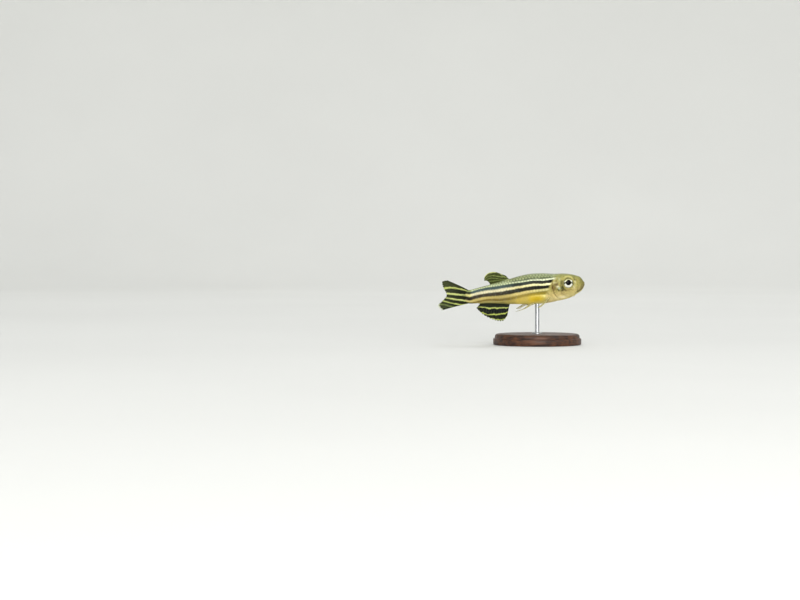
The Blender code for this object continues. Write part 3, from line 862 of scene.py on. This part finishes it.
def makeSkin():
    sides = skinForm["sides"]
    rings = ringPlaces()
    points, rows = [], []
    for s in rings:
        for j in range(sides):
            angle = math.tau * j / sides
            at = wedgeBack(s, angle)
            place = skinAt(s, angle, reliefAt(s, angle))
            points.append(posed(place + Vector((s - at, 0, 0))))
            rows.append(paintAt(at, angle))
    last = (len(rings) - 1) * sides
    points += [posed(Vector((0, 0, 0))), sum(points[last:], Vector()) / sides]
    rows += [rows[0], rows[last]]
    faces = []
    for j in range(sides):
        k = (j + 1) % sides
        faces.append((len(points) - 2, j, k))
        faces.append((len(points) - 1, last + k, last + j))
        for i in range(0, last, sides):
            faces.append((i + j, i + sides + j, i + sides + k, i + k))
    piece = newPiece("fishSkin", points, faces)
    writeAttributes(piece.data, rows)
    # unwrapped ring by ring, so that the head gets the most room
    layer = piece.data.uv_layers.new(name="OFBake")
    for polygon in piece.data.polygons:
        turns = [v % sides if v < len(points) - 2 else None for v in polygon.vertices]
        known = [t for t in turns if t is not None]
        wraps = max(known) - min(known) > sides / 2
        for loop, vertex, turn in zip(polygon.loop_indices, polygon.vertices, turns):
            ring = vertex // sides
            if turn is None:                 # the middle of an end
                turn = sum(known) / len(known)
                ring = -1 if vertex == len(points) - 2 else len(rings)
            if wraps and turn < sides / 2:
                turn += sides
            layer.data[loop].uv = (0.01 + 0.98 * (ring + 1) / (len(rings) + 1),
                                   0.01 + 0.98 * turn / sides)
    piece.data.materials.append(skinPaint)
    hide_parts("head", "trunk", "tail", "gill_cover_left", "gill_cover_right")
    return piece


fishSkin = makeSkin()
print("skin made:", len(fishSkin.data.polygons), "faces")


# scales, each a thin closed shell that lies over the next one back
scales = {
    "gap": (0.86, 0.66),             # from one scale of a row to the next, at the nape and tail
    "row": (0.88, 0.70),             # from row to row
    "length": 1.85, "half": 0.92,    # in gaps and rows
    "root": -0.05, "rise": 0.10, "thick": 0.022,
    "cells": 5,
    "first": 5.14, "last": 31.6,
    "nape": (46, 5.8, 5.65), "throat": (146, 7.0, 34),       # angle and s that they start from
    "cover": 0.15,                   # from the gill covers to the first scales
    "uneven": 0.03,
}


@lru_cache(maxsize=None)
def arcTable(s):
    # distance over the skin from the middle of the flank, upwards below 0
    angles = [math.radians(3 * i) for i in range(61)]
    points = [section(s, angle) for angle in angles]
    arcs = [0.0]
    for a, b in zip(points, points[1:]):
        arcs.append(arcs[-1] + (b - a).length)
    middle = arcs[30]
    return angles, [arc - middle for arc in arcs]


def arcsAt(s):
    return arcTable(round(s * 5) / 5)


def angleOver(s, arc):
    angles, arcs = arcsAt(s)
    if arc < arcs[0]:
        return -angleOver(s, 2 * arcs[0] - arc)
    if arc > arcs[-1]:
        return math.tau - angleOver(s, 2 * arcs[-1] - arc)
    i = min(bisect_right(arcs, arc), len(arcs) - 1) - 1
    f = (arc - arcs[i]) / (arcs[i + 1] - arcs[i])
    return angles[i] + (angles[i + 1] - angles[i]) * f


def rowArc(row, s):
    # rows run with the stripes and close up towards the tail
    if row in ("back", "belly"):
        return arcsAt(s)[1][0 if row == "back" else -1]
    near, far = scales["row"]
    return row * (near + (far - near) * ease(s, 14, 29))


def scaleStart(angle):
    degrees = abs(math.degrees(math.remainder(angle, math.tau)))
    turn, start, less = scales["nape"]
    if degrees < turn:
        return start + (gillLine(math.radians(turn)) - less) * (degrees / turn) ** 2
    turn, start, run = scales["throat"]
    if degrees > turn:
        return start - (degrees - turn) / run
    return gillLine(math.radians(degrees)) + scales["cover"]


def scalePlaces():
    found = []
    s, i = scales["first"], 0
    near, far = scales["gap"]
    while s < scales["last"]:
        gap = near + (far - near) * ease(s, 10, 30)
        arcs = arcsAt(s)[1]
        wide = rowArc(1, s)
        for row in range(-8, 9):
            clear = arcs[0] + 0.45 * wide < rowArc(row, s) < arcs[-1] - 0.45 * wide
            if (row + i) % 2 == 0 and clear:
                found += [(s, row, side, gap) for side in (1, -1)]
        for row, fin in (("back", "dorsal"), ("belly", "anal")):
            start, end = finBases[fin]
            if i % 2 == 0 and not start - 1.3 < s < end - 0.4:
                found.append((s, row, 1, gap))
        s += gap / 2
        i += 1
    return [place for place in found
            if place[0] > scaleStart(angleOver(place[0], rowArc(place[1], place[0])))]


def addScale(points, faces, rows, corners, s, row, side, gap):
    cells = scales["cells"]
    uneven = scales["uneven"]
    long = gap * scales["length"] * chance.uniform(1 - uneven, 1 + uneven)
    half = rowArc(1, s) * scales["half"] * chance.uniform(1 - uneven, 1 + uneven)
    first = len(points)
    uvPlace = (0.03 + 0.94 * s / 34,
               0.5 + 0.45 * side * angleOver(s, rowArc(row, s)) / math.pi)

    def corner(i, j, drop):
        u, v = i / cells, 2 * j / cells - 1
        edge = 0.5 + 0.5 * (1 - abs(v) ** 2.4) ** 0.5
        at = s + u * edge * long
        narrow = 0.8 + 0.2 * min(u * 2.5, 1.0)
        arc = rowArc(row, at) + v * half * narrow
        angle = side * angleOver(at, arc)
        lift = scales["root"] + scales["rise"] * u * edge - 0.015 * v * v - drop
        points.append(posed(skinAt(at, angle, lift + reliefAt(at, angle))))
        rows.append({**paintAt(min(at, 32.6), angle),
                     "out": u * edge, "across": v, "margin": max(u, abs(v) * u)})
        corners.append((uvPlace[0] + 0.003 * (u - 0.5), uvPlace[1] + 0.0015 * v))

    step = cells + 1
    for k in range(step * step):
        corner(k // step, k % step, 0.0)
    rim = [*range(step), *range(step + cells, step * step, step),
           *range(step * step - 2, cells * step - 1, -1), *range((cells - 1) * step, 0, -step)]
    for k in rim:
        corner(k // step, k % step, scales["thick"])
    for i in range(cells):
        for j in range(cells):
            a = first + i * step + j
            others = (a + 1, a + step + 1, a + step)
            faces.append((a, *(others if side > 0 else others[::-1])))
    under = first + step * step
    for k, top in enumerate(rim):
        n = (k + 1) % len(rim)
        quad = (first + top, under + k, under + n, first + rim[n])
        faces.append(quad if side > 0 else quad[::-1])
    bottom = tuple(under + k for k in range(len(rim)))
    faces.append(bottom[::-1] if side > 0 else bottom)


def makeScales():
    points, faces, rows, corners = [], [], [], []
    places = scalePlaces()
    for place in places:
        addScale(points, faces, rows, corners, *place)
    piece = newPiece("fishScales", points, faces)
    writeAttributes(piece.data, rows)
    layer = piece.data.uv_layers.new(name="OFBake")
    for loop in piece.data.loops:
        layer.data[loop.index].uv = corners[loop.vertex_index]
    piece.data.set_sharp_from_angle(angle=math.radians(50))
    piece.data.materials.append(scalePaint)
    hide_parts("trunk", "tail")
    return len(places)


print("scales made:", makeScales())


# barbels
barbels = {"thick": 0.1, "out": 0.42, "sunk": 0.2, "points": 14, "sides": 10,
           "back": (-0.75, 0, -0.5)}          # way the end hangs, for each millimetre of length


def barbelLine(s, angle, length):
    start = skinAt(s, angle, max(reliefAt(s, angle), 0.0) - barbels["sunk"])
    out = skinNormal(s, angle)
    line = []
    for k in range(barbels["points"]):
        share = k / (barbels["points"] - 1)
        off = (barbels["out"] * length + 0.25) * math.sin(share * math.pi / 2)
        back = Vector(barbels["back"]) * length * share ** 1.4
        line.append(start + out * off + back + Vector((0, 0, 0.05 * math.sin(share * 6))))
    return line


def addBarbel(points, faces, rows, s, angle, length):
    line = barbelLine(s, angle, length)
    first, sides = len(points), barbels["sides"]
    for k, centre in enumerate(line):
        along = (line[min(k + 1, len(line) - 1)] - line[max(k - 1, 0)]).normalized()
        one = one - along * one.dot(along) if k else along.orthogonal()
        one.normalize()
        two = along.cross(one)
        share = k / (len(line) - 1)
        thick = barbels["thick"] * (1 - 0.72 * share ** 0.8) * (0.6 if share == 1 else 1)
        marks = {**paintAt(s, angle), "shade": 0.12 + 0.2 * share, "lip": 0.25,
                 "stripe": 0.0, "brown": 0.0, "pale": 0.0, "height": 0.6}
        for j in range(sides):
            turn = math.tau * j / sides
            points.append(posed(centre + (one * math.cos(turn) + two * math.sin(turn)) * thick))
            rows.append(marks)
    last = first + (len(line) - 1) * sides
    for j in range(sides):
        k = (j + 1) % sides
        for i in range(first, last, sides):
            faces.append((i + j, i + k, i + sides + k, i + sides + j))
    faces.append(tuple(first + j for j in reversed(range(sides))))
    faces.append(tuple(last + j for j in range(sides)))


def makeBarbels():
    points, faces, rows = [], [], []
    for side in (1, -1):
        for (s, z), length in head["barbels"]:
            addBarbel(points, faces, rows, s, angleAt(s, z, side), length)
    piece = newPiece("barbels", points, faces)
    writeAttributes(piece.data, rows)
    piece.data.materials.append(skinPaint)
    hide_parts("head")


makeBarbels()
print("barbels made")


# eyes: one turned dome each, with a proud lens in the pupil
eye = {
    "profile": (                     # radius and height
        (1.44, -0.62), (1.40, -0.40), (1.34, -0.25), (1.27, -0.13), (1.18, -0.03), (1.08, 0.06),
        (0.97, 0.12), (0.87, 0.155), (0.79, 0.175), (0.745, 0.175), (0.71, 0.185), (0.66, 0.22),
        (0.57, 0.265), (0.46, 0.305), (0.33, 0.335), (0.18, 0.352), (0.06, 0.358)),
    "sides": 64,
    "pupil": 0.76, "iris": 1.25,
    "rise": 0.12,                    # the pupil sits this far above the middle of the ball
    # rim is painted shade round the iris, where the ball sinks into its socket
    "silver": ("CBCCB6", "F6F6EA"), "top": "CFCB92", "level": "55583F", "line": "716F3A",
    "rim": "6E6A3E", "black": "020303",
}


def irisMaterial():
    made, tree, shader = newMaterial(
        "eye glass", Roughness=0.24, Coat_Weight=0.16, Coat_Roughness=0.02, Coat_IOR=1.33,
        Specular_IOR_Level=0.05)
    ring, up, ahead = told(tree, "ring"), told(tree, "up"), told(tree, "ahead")
    place = objectPlace(tree)
    streaks = noiseAt(tree, place, 4200, 3.0, 0.6)
    clouds = noiseAt(tree, place, 1900)
    silver = (linear(code) for code in eye["silver"])
    colour = mixed(tree, spread(tree, streaks, 0.3, 0.7), *silver)
    # dark pigment before and behind the pupil, and a thin line of it over the top
    level = maths(tree, "ABSOLUTE", maths(tree, "ADD", up, product(tree, ahead, -0.1)))
    level = product(tree, spread(tree, level, 0.16, 0.42, 1.0, 0.0),
                    spread(tree, clouds, 0.35, 0.6, 0.75, 1.0))
    line = product(tree, spread(tree, up, 0.4, 0.8), spread(tree, ring, 0.94, 1.08), 0.85)
    # painted shade round the iris, where the ball sinks into the socket
    socketShade = spread(tree, ring, eye["iris"] - 0.05, eye["iris"] + 0.06)
    black = spread(tree, ring, eye["pupil"] + 0.015, eye["pupil"] - 0.015)
    for name, mask in (("top", spread(tree, up, 0.3, 0.9)), ("level", level), ("line", line),
                       ("rim", socketShade), ("black", black)):
        colour = mixed(tree, mask, colour, linear(eye[name]))
    solid = maths(tree, "MAXIMUM", black, socketShade)
    feed(tree, shader, Base_Color=colour, Metallic=spread(tree, solid, 0.0, 1.0, 0.2, 0.0, False),
         Normal=bumped(tree, streaks, 0.2, 0.00002))
    return made


eyePaint = irisMaterial()


def makeEye(name, side, node):
    piece = turned(name, eye["profile"], eye["sides"])
    upward = eyeTurn.transposed() @ Vector((0, 0, 1))
    upTurn = math.atan2(upward.y, upward.x)
    rows = []
    for vertex in piece.data.vertices:
        local = vertex.co.copy()
        turn = math.atan2(local.y, local.x) - upTurn
        ring = math.hypot(local.x, local.y)
        rows.append({"ring": ring, "up": math.cos(turn), "ahead": -math.sin(turn)})
        local += upward * eye["rise"] * (1 - ease(ring, eye["pupil"], eye["iris"]))
        place = eyePlace + eyeTurn @ local
        vertex.co = posed(Vector((place.x, side * place.y, place.z)))
    if side < 0:
        piece.data.flip_normals()
    writeAttributes(piece.data, rows)
    piece.data.materials.append(eyePaint)
    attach(piece, "root")
    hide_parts(node)


makeEye("eyeLeft", 1, "eye_left")
makeEye("eyeRight", -1, "eye_right")
print("eyes made")


# fins
fins = {
    "perGap": 12, "rows": 52,
    "web": 0.035, "edge": 0.022,     # half thickness by the body and at the margin
    "ray": 0.085, "rayWide": 0.055,
    "foot": 0.16,                    # added to the half thickness inside the body
    # share of the ray's length where it forks and forks again, how far apart, over what length
    "forks": ((0.42, 0.2, 0.3), (0.7, 0.085, 0.25)),
    "root": -0.14,                   # the rays start this share of their length inside the body
    "inside": 0.3, "pairedInside": 0.4,
}
# tips: share across the fin, then s, or s behind the tail's root, with y for the paired fins, z
finForms = {
    "dorsal": {"rays": 9, "base": finBases["dorsal"], "bow": 0.25, "notch": 0.03,
               "tips": ((0, 21.9, 5.0), (0.15, 23.3, 6.0), (0.4, 25.1, 6.1), (0.7, 26.5, 5.3),
                        (1, 26.9, 4.0))},
    "anal": {"rays": 14, "base": finBases["anal"], "bow": -0.3, "notch": 0.1,
             "tips": ((0, 22.0, -6.5), (0.15, 23.4, -7.75), (0.45, 26.1, -7.1),
                      (0.75, 28.7, -5.3), (1, 30.2, -3.3))},
    "caudal": {"rays": 19, "half": 1.7, "bow": 0.4, "notch": 0.03,
               "tips": ((0, 6.9, 4.15), (0.12, 8.2, 3.7), (0.3, 7.9, 2.1), (0.5, 6.8, 0.0),
                        (0.7, 8.0, -1.9), (0.88, 9.0, -3.2), (1, 7.8, -4.4))},
    "pelvic": {"rays": 8, "base": ((14.8, 150), (15.9, 168)), "bow": 0.2, "notch": 0.05,
               "tips": ((0, 18.6, 2.5, -4.9), (0.5, 19.4, 1.8, -5.2), (1, 18.2, 0.9, -5.1))},
    "pectoral": {"rays": 10, "base": ((10.2, 118), (10.8, 132)), "bow": 0.2, "notch": 0.04,
                 "tips": ((0, 13.0, 5.3, -4.1), (0.4, 13.7, 4.7, -4.2), (1, 12.9, 3.3, -4.2))},
}
# places of the light stripes: on the tail fin the share across at each share out, on the anal
# and dorsal fins the share out at each share across
finStripes = {
    "caudal": ((0.0, 0.05, 0.41, 0.86, 1.08, 1.3), (0.25, 0.12, 0.43, 0.73, 1.0, 1.2),
               (0.5, 0.19, 0.45, 0.67, 0.88, 1.04), (0.75, 0.26, 0.46, 0.615, 0.755, 0.89),
               (1.0, 0.345, 0.46, 0.58, 0.67, 0.79)),
    "anal": ((0.0, 0.19, 0.56, 0.93), (0.2, 0.19, 0.54, 0.9), (0.46, 0.24, 0.66, 0.94),
             (0.7, 0.31, 0.84, 1.06), (0.87, 0.36, 1.0, 1.3), (1.0, 0.56, 1.15, 1.5)),
    "dorsal": ((0.0, -0.3, -0.1, 0.06, 0.96), (0.25, -0.05, 0.05, 0.27, 0.96),
               (0.5, 0.08, 0.24, 0.52, 0.95), (0.75, 0.15, 0.5, 0.8, 0.95),
               (1.0, 0.31, 0.78, 0.93, 1.1)),
}


def stripeCount(lines, at):
    # 0 before the first light stripe, 1 on it, 2 half way to the next, and so on
    first = lines[0]
    if at < first:
        return max(1 - (first - at) / 0.1, 0.0)
    for k, (a, b) in enumerate(zip(lines, lines[1:])):
        if at < b:
            return 1 + 2 * k + 2 * (at - a) / (b - a)
    return min(2 * len(lines) - 1 + (at - lines[-1]) / 0.1, 2.0 * len(lines))


def rayForks(v, single):
    # how far each branch of a ray lies from its middle
    if single:
        return (0.0,)
    a, b = (apart * ease(v, start, start + run) for start, apart, run in fins["forks"])
    return (-a - b, -a + b, a - b, a + b)


def makeFin(name, form, root, tip, side, sweep, stripes, node):
    rays, rowsOut = form["rays"], fins["rows"]
    columns = (rays - 1) * fins["perGap"]
    uneven = [chance.uniform(-1, 1) for k in range(columns + 1)]
    reaches = [fins["root"] + (1 - fins["root"]) * i / rowsOut for i in range(rowsOut + 1)]

    def centre(t, reach):
        arch = math.sin(math.pi * max(reach, 0.0))
        return root(t).lerp(tip(t), reach) + (sweep + side * form["bow"]) * arch

    gaps = {}
    for i, v in enumerate(reaches):
        for k in range(rays):
            t = k / (rays - 1)
            t1, t2 = max(t - 0.5 / (rays - 1), 0), min(t + 0.5 / (rays - 1), 1)
            wide = (centre(t2, v) - centre(t1, v)).length
            gaps[i, k] = max(wide / ((t2 - t1) * (rays - 1)), 0.02)

    points, rows = [], []
    for face in (1, -1):
        for c in range(columns + 1):
            t = c / columns
            k = min(round(t * (rays - 1)), rays - 1)
            x = t * (rays - 1) - k
            single = k in (0, rays - 1)
            own = uneven[k * fins["perGap"]]
            between = (1 - math.cos(math.tau * x)) / 2
            ragged = form["notch"] * (between * (0.7 + 0.3 * uneven[c]) + 0.12 * own ** 2)
            for i, v in enumerate(reaches):
                out = max(v, 0.0)
                wide = fins["rayWide"] * (1 - 0.45 * out) * (1.5 if single else 1) / gaps[i, k]
                ridge = max(hump(x - fork, wide) for fork in rayForks(v, single))
                reach = v - ragged * ease(v, 0.55, 1.0)
                half = fins["web"] + (fins["edge"] - fins["web"]) * out
                half += fins["ray"] * ridge * (1 - 0.62 * out) * (1.25 if single else 1)
                half += fins["foot"] * (1 - ease(v, fins["root"], 0.12))
                points.append(posed(centre(t, reach) + side * face * half))
                stripe = 0.0
                if stripes:
                    down, away = (reach, t) if stripes == "caudal" else (t, reach)
                    stripe = stripeCount(throughRows(finStripes[stripes], down), away)
                stripe += 0.22 * (ridge - 0.5) + 0.16 * own
                rows.append({"stripe": max(stripe, 0.0), "ray": ridge, "out": out, "from": t,
                             "length": (tip(t) - root(t)).length * v})
    step = rowsOut + 1
    size = (columns + 1) * step
    faces = []
    for c in range(columns):
        for i in range(rowsOut):
            a = c * step + i
            faces.append((a, a + 1, a + step + 1, a + step))
            faces.append((size + a, size + a + step, size + a + step + 1, size + a + 1))
    rim = [*range(step), *range(step + rowsOut, size - step, step),
           *range(size - 1, columns * step - 1, -1), *range((columns - 1) * step, 0, -step)]
    for k, a in enumerate(rim):
        b = rim[(k + 1) % len(rim)]
        faces.append((a, size + a, size + b, b))
    piece = newPiece(name, points, faces)
    writeAttributes(piece.data, rows)
    piece.data.materials.append(finPaints[stripes or "clear"])
    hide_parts(node)


finPaint = {
    # colour and cover, from 0 (see-through) to 1, at each count of the stripes
    "caudal": (("222713", 0.93), ("BEC670", 0.98), ("11150B", 0.97), ("C8CE80", 0.98),
               ("11140A", 0.97), ("C8CE80", 0.98), ("12150B", 0.96), ("B8C16C", 0.97),
               ("1A200F", 0.95), ("667242", 0.95), ("20260F", 0.93)),
    "anal": (("1A1F12", 0.96), ("B8C26A", 0.98), ("0E1114", 0.96), ("C0CB64", 0.98),
             ("0E1114", 0.95), ("BAC662", 0.96), ("565F30", 0.8)),
    "dorsal": (("333914", 0.95), ("69753A", 0.95), ("333914", 0.95), ("727E42", 0.95),
               ("333914", 0.95), ("7B8648", 0.95), ("333914", 0.95), ("D0D48E", 0.98),
               ("D0D48E", 0.98)),
    "clear": (("B5AE6C", 0.15), ("B5AE6C", 0.15)),
}
# half width of a light and of a dark stripe, in counts
finKeep = {"caudal": (0.1, 0.58), "anal": (0.06, 0.7), "dorsal": (0.06, 0.6), "clear": (0.1, 0.5)}
# colour of the rays, how much of it they take near the body and at the margin, and their cover
finRays = {"caudal": ("8D9658", 0.06, 0.22, 0.12), "anal": ("8D9658", 0.05, 0.2, 0.12),
           "dorsal": ("8E9458", 0.08, 0.3, 0.12), "clear": ("CFC88C", 0.4, 0.4, 0.35)}
finMarks = {"joint": "33351C", "jointTurn": 24.0, "hindEdge": "D6DAC0"}


def finMaterial(kind):
    made, tree, shader = newMaterial(
        "fin " + kind, Coat_Weight=0.06, Coat_Roughness=0.15, Coat_IOR=1.33, IOR=1.33,
        Specular_IOR_Level=0.16)
    place = objectPlace(tree)
    codes = finPaint[kind]
    last = len(codes) - 1
    wobble = maths(tree, "SUBTRACT", noiseAt(tree, place, 2400, 3.0, 0.6), 0.5)
    ray, out = told(tree, "ray"), told(tree, "out")
    stripe = maths(tree, "ADD", told(tree, "stripe"), product(tree, wobble, 0.55))
    stripe = maths(tree, "DIVIDE", stripe, float(last))
    stops, covers = [], []
    for k, (code, cover) in enumerate(codes):
        keep = finKeep[kind][0 if k % 2 else 1]
        for spot in (k - keep, k + keep):
            if 0 <= spot <= last:
                stops.append((spot / last, linear(code)))
                covers.append((spot / last, (cover, cover, cover, 1)))
    joints = maths(tree, "SINE", product(tree, told(tree, "length"), finMarks["jointTurn"]))
    joints = spread(tree, joints, 0.55, 0.95)
    rayCode, near, far, rayCover = finRays[kind]
    share = product(tree, ray, spread(tree, out, 0.1, 0.8, near, far))
    colour = mixed(tree, share, ramp(tree, stripe, stops), linear(rayCode))
    jointed = product(tree, joints, ray, 0.28)
    colour = mixed(tree, jointed, colour, linear(finMarks["joint"]))
    if kind == "caudal":
        # pale hind edge of the lower lobe
        pale = product(tree, spread(tree, out, 0.94, 0.98),
                       spread(tree, told(tree, "from"), 0.78, 0.86), 0.8)
        colour = mixed(tree, pale, colour, linear(finMarks["hindEdge"]))
    cover = ramp(tree, stripe, covers)
    relief = maths(tree, "ADD", noiseAt(tree, place, 6000), product(tree, joints, ray, -0.8))
    feed(tree, shader, Base_Color=colour,
         Alpha=maths(tree, "ADD", cover, product(tree, ray, rayCover), True),
         Roughness=spread(tree, noiseAt(tree, place, 4000), 0.3, 0.7, 0.34, 0.5),
         Normal=bumped(tree, relief, 0.4, 0.00002))
    return made


finPaints = {kind: finMaterial(kind) for kind in finPaint}
upright = Vector((0, 1, 0))


def medianFin(name, kind, edge, node, sweep=Vector()):
    # edge 0 grows from the back, 1 from the belly
    form = finForms[kind]
    start, end = form["base"]
    away = -fins["inside"] if edge else fins["inside"]

    def root(t):
        s = start + (end - start) * t
        return Vector((-s, 0, bodyAt(s)[edge] + away))

    def tip(t):
        s, z = throughRows(form["tips"], t)
        return Vector((-s, 0, z))
    makeFin(name, form, root, tip, upright, sweep, kind, node)


def tailFin():
    form = finForms["caudal"]

    def root(t):
        return Vector((-fish["tailRoot"] - fins["inside"], 0, form["half"] * (1 - 2 * t)))

    def tip(t):
        back, z = throughRows(form["tips"], t)
        return Vector((-fish["tailRoot"] - back, 0, z))
    makeFin("caudalFin", form, root, tip, upright, Vector(), "caudal", "caudal_fin")


def pairedFin(name, kind, side, node):
    form = finForms[kind]
    (start, startTurn), (end, endTurn) = form["base"]

    def root(t):
        turn = math.radians(startTurn + (endTurn - startTurn) * t)
        return skinAt(start + (end - start) * t, side * turn, fins["pairedInside"])

    def tip(t):
        s, y, z = throughRows(form["tips"], t)
        return Vector((-s, side * y, z))
    flat = (tip(0) - root(0)).cross(tip(1) - root(0)).normalized()
    makeFin(name, form, root, tip, flat, Vector(), None, node)


medianFin("dorsalFin", "dorsal", 0, "dorsal_fin", Vector((0.1, 0, 0.3)))
medianFin("analFin", "anal", 1, "anal_fin")
tailFin()
for side, tag in ((1, "Left"), (-1, "Right")):
    pairedFin("pelvicFin" + tag, "pelvic", side, "pelvic_fin_" + tag.lower())
    pairedFin("pectoralFin" + tag, "pectoral", side, "pectoral_fin_" + tag.lower())
print("fins made")


# stand
stand = {
    # radius and height
    "base": ((10.6, 0.0), (11.55, 0.0), (11.85, 0.1), (12.0, 0.35), (12.0, 1.55), (11.93, 1.72),
             (11.78, 1.8), (11.62, 1.82), (11.55, 1.9), (11.55, 2.2), (11.5, 2.5), (11.36, 2.75),
             (11.12, 2.92), (10.8, 3.0), (8.0, 3.0), (1.0, 3.0)),
    "rod": ((1.45, 2.9), (1.45, 3.22), (1.38, 3.3), (1.1, 3.34), (0.72, 3.38), (0.62, 3.5),
            (0.6, 3.7), (0.6, 10.9), (0.6, 11.5)),
    "baseSides": 160, "rodSides": 48,
    "wood": ("2A1810", "5A3722"), "pores": "160C07", "steel": ("A9ACAF", "B9BCBF"),
}


def grainGroup():
    # long fibres along X, for wood or brushed metal
    group, given, sent = newGroup(
        "fibre grain", (("Place", "Vector"), ("Scale", "Float")),
        (("Fibre", "Float"), ("Cloud", "Float")))
    place, scale = given.outputs["Place"], given.outputs["Scale"]
    feed(group, sent, Fibre=noiseAt(group, place, product(group, scale, 1.0), 4.0, 0.6),
         Cloud=noiseAt(group, place, product(group, scale, 0.13), 2.0, 0.6))
    return group


fibres = grainGroup()


def woodMaterial():
    made, tree, shader = newMaterial(
        "stand wood", Coat_Weight=0.12, Coat_Roughness=0.3, Specular_IOR_Level=0.3)
    wide = useGroup(tree, fibres, Scale=1000.0,
                    Place=objectPlace(tree, (0.12, 1, 1), (0, 0, 0.06)))["Fibre"]
    fine = useGroup(tree, fibres, Scale=2600.0, Place=objectPlace(tree, (0.07, 1, 1)))["Fibre"]
    colours = (linear(code) for code in stand["wood"])
    colour = mixed(tree, spread(tree, wide, 0.35, 0.65), *colours)
    colour = mixed(tree, spread(tree, fine, 0.52, 0.72, 0.0, 0.6), colour, linear(stand["pores"]))
    feed(tree, shader, Base_Color=colour, Roughness=spread(tree, fine, 0.3, 0.7, 0.46, 0.62),
         Normal=bumped(tree, fine, 0.25, 0.00004))
    return made


def steelMaterial():
    made, tree, shader = newMaterial("stand steel", Metallic=1.0)
    outs = useGroup(tree, fibres, Scale=9000.0, Place=objectPlace(tree, (0.35, 0.35, 1.0)))
    colours = (linear(code) for code in stand["steel"])
    feed(tree, shader, Base_Color=mixed(tree, spread(tree, outs["Cloud"], 0.3, 0.7), *colours),
         Roughness=spread(tree, outs["Fibre"], 0.3, 0.7, 0.22, 0.38),
         Normal=bumped(tree, outs["Fibre"], 0.12, 0.00001))
    return made


def standPiece(name, profile, sides, look, node):
    piece = turned(name, profile, sides)
    piece.data.transform(Matrix.Scale(mm, 4))
    piece.data.set_sharp_from_angle(angle=math.radians(35))
    piece.data.materials.append(look)
    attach(piece, "root")
    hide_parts(node)


standPiece("standBase", stand["base"], stand["baseSides"], woodMaterial(),
           "stand_base")
standPiece("standRod", stand["rod"], stand["rodSides"], steelMaterial(),
           "stand_rod")
print("stand made")


# floor, backdrop and light
studio = {
    "floor": 0.75, "wall": 0.35, "height": 1.1,
    "colour": ("D6D6D2", "DFDFDB"),
    "sky": (0.93, 0.96, 1.0, 1.0), "skyPower": 0.6,
    "lampsAt": (0, 0, 0.01),         # the place that the lamps point at
    "lamps": (                       # place, size, power
        ((-0.25, -0.75, 0.75), 0.6, 3.1),
        ((0.05, -0.8, 0.13), 0.36, 4.1),
        ((0.7, -0.45, 0.5), 0.5, 1.9),
        ((0.1, 0.7, 0.8), 0.6, 3.2)),
}


def floorMaterial():
    made, tree, shader = newMaterial("studio paper", Roughness=0.85)
    colours = (linear(code) for code in studio["colour"])
    clouds = noiseAt(tree, objectPlace(tree), 6.0, 3.0)
    feed(tree, shader, Base_Color=mixed(tree, clouds, *colours))
    return made


def makeSweep():
    # a round floor that curves up into the wall
    floor, wall = studio["floor"], studio["wall"]
    bend = [(floor + wall * math.sin(a), wall * (1 - math.cos(a)))
            for a in [math.pi / 2 * i / 14 for i in range(15)]]
    deselectAll()
    bpy.ops.mesh.primitive_circle_add(
        vertices=120, radius=floor, fill_type="NGON", location=(0, 0, 0))
    sweep = bpy.context.object
    sweep.name = sweep.data.name = "studioSweep"
    bpy.ops.object.mode_set(mode="EDIT")
    bpy.ops.mesh.select_all(action="SELECT")
    bpy.ops.mesh.region_to_loop()
    drawOut([*bend, (floor + wall + 0.02, studio["height"])], bpy.ops.mesh.extrude_edges_move)
    bpy.ops.mesh.select_all(action="SELECT")
    bpy.ops.mesh.normals_make_consistent(inside=True)
    bpy.ops.object.mode_set(mode="OBJECT")
    sweep.data.shade_smooth()
    sweep.data.materials.append(floorMaterial())


def addLamp(name, place, size, power):
    data = bpy.data.lights.new(name, "AREA")
    data.size = size
    data.energy = power
    lamp = bpy.data.objects.new(name, data)
    lamp.location = place
    towards = Vector(studio["lampsAt"]) - Vector(place)
    lamp.rotation_euler = towards.to_track_quat("-Z", "Y").to_euler()
    bpy.context.scene.collection.objects.link(lamp)


def makeStudio():
    makeSweep()
    for i, lamp in enumerate(studio["lamps"]):
        addLamp("lamp%d" % i, *lamp)
    world = bpy.data.worlds.new("sky")
    world.use_nodes = True
    feed(world.node_tree, world.node_tree.nodes["Background"],
         Color=studio["sky"], Strength=studio["skyPower"])
    bpy.context.scene.world = world
    bpy.context.scene.view_settings.view_transform = "Standard"


makeStudio()
print("studio made")
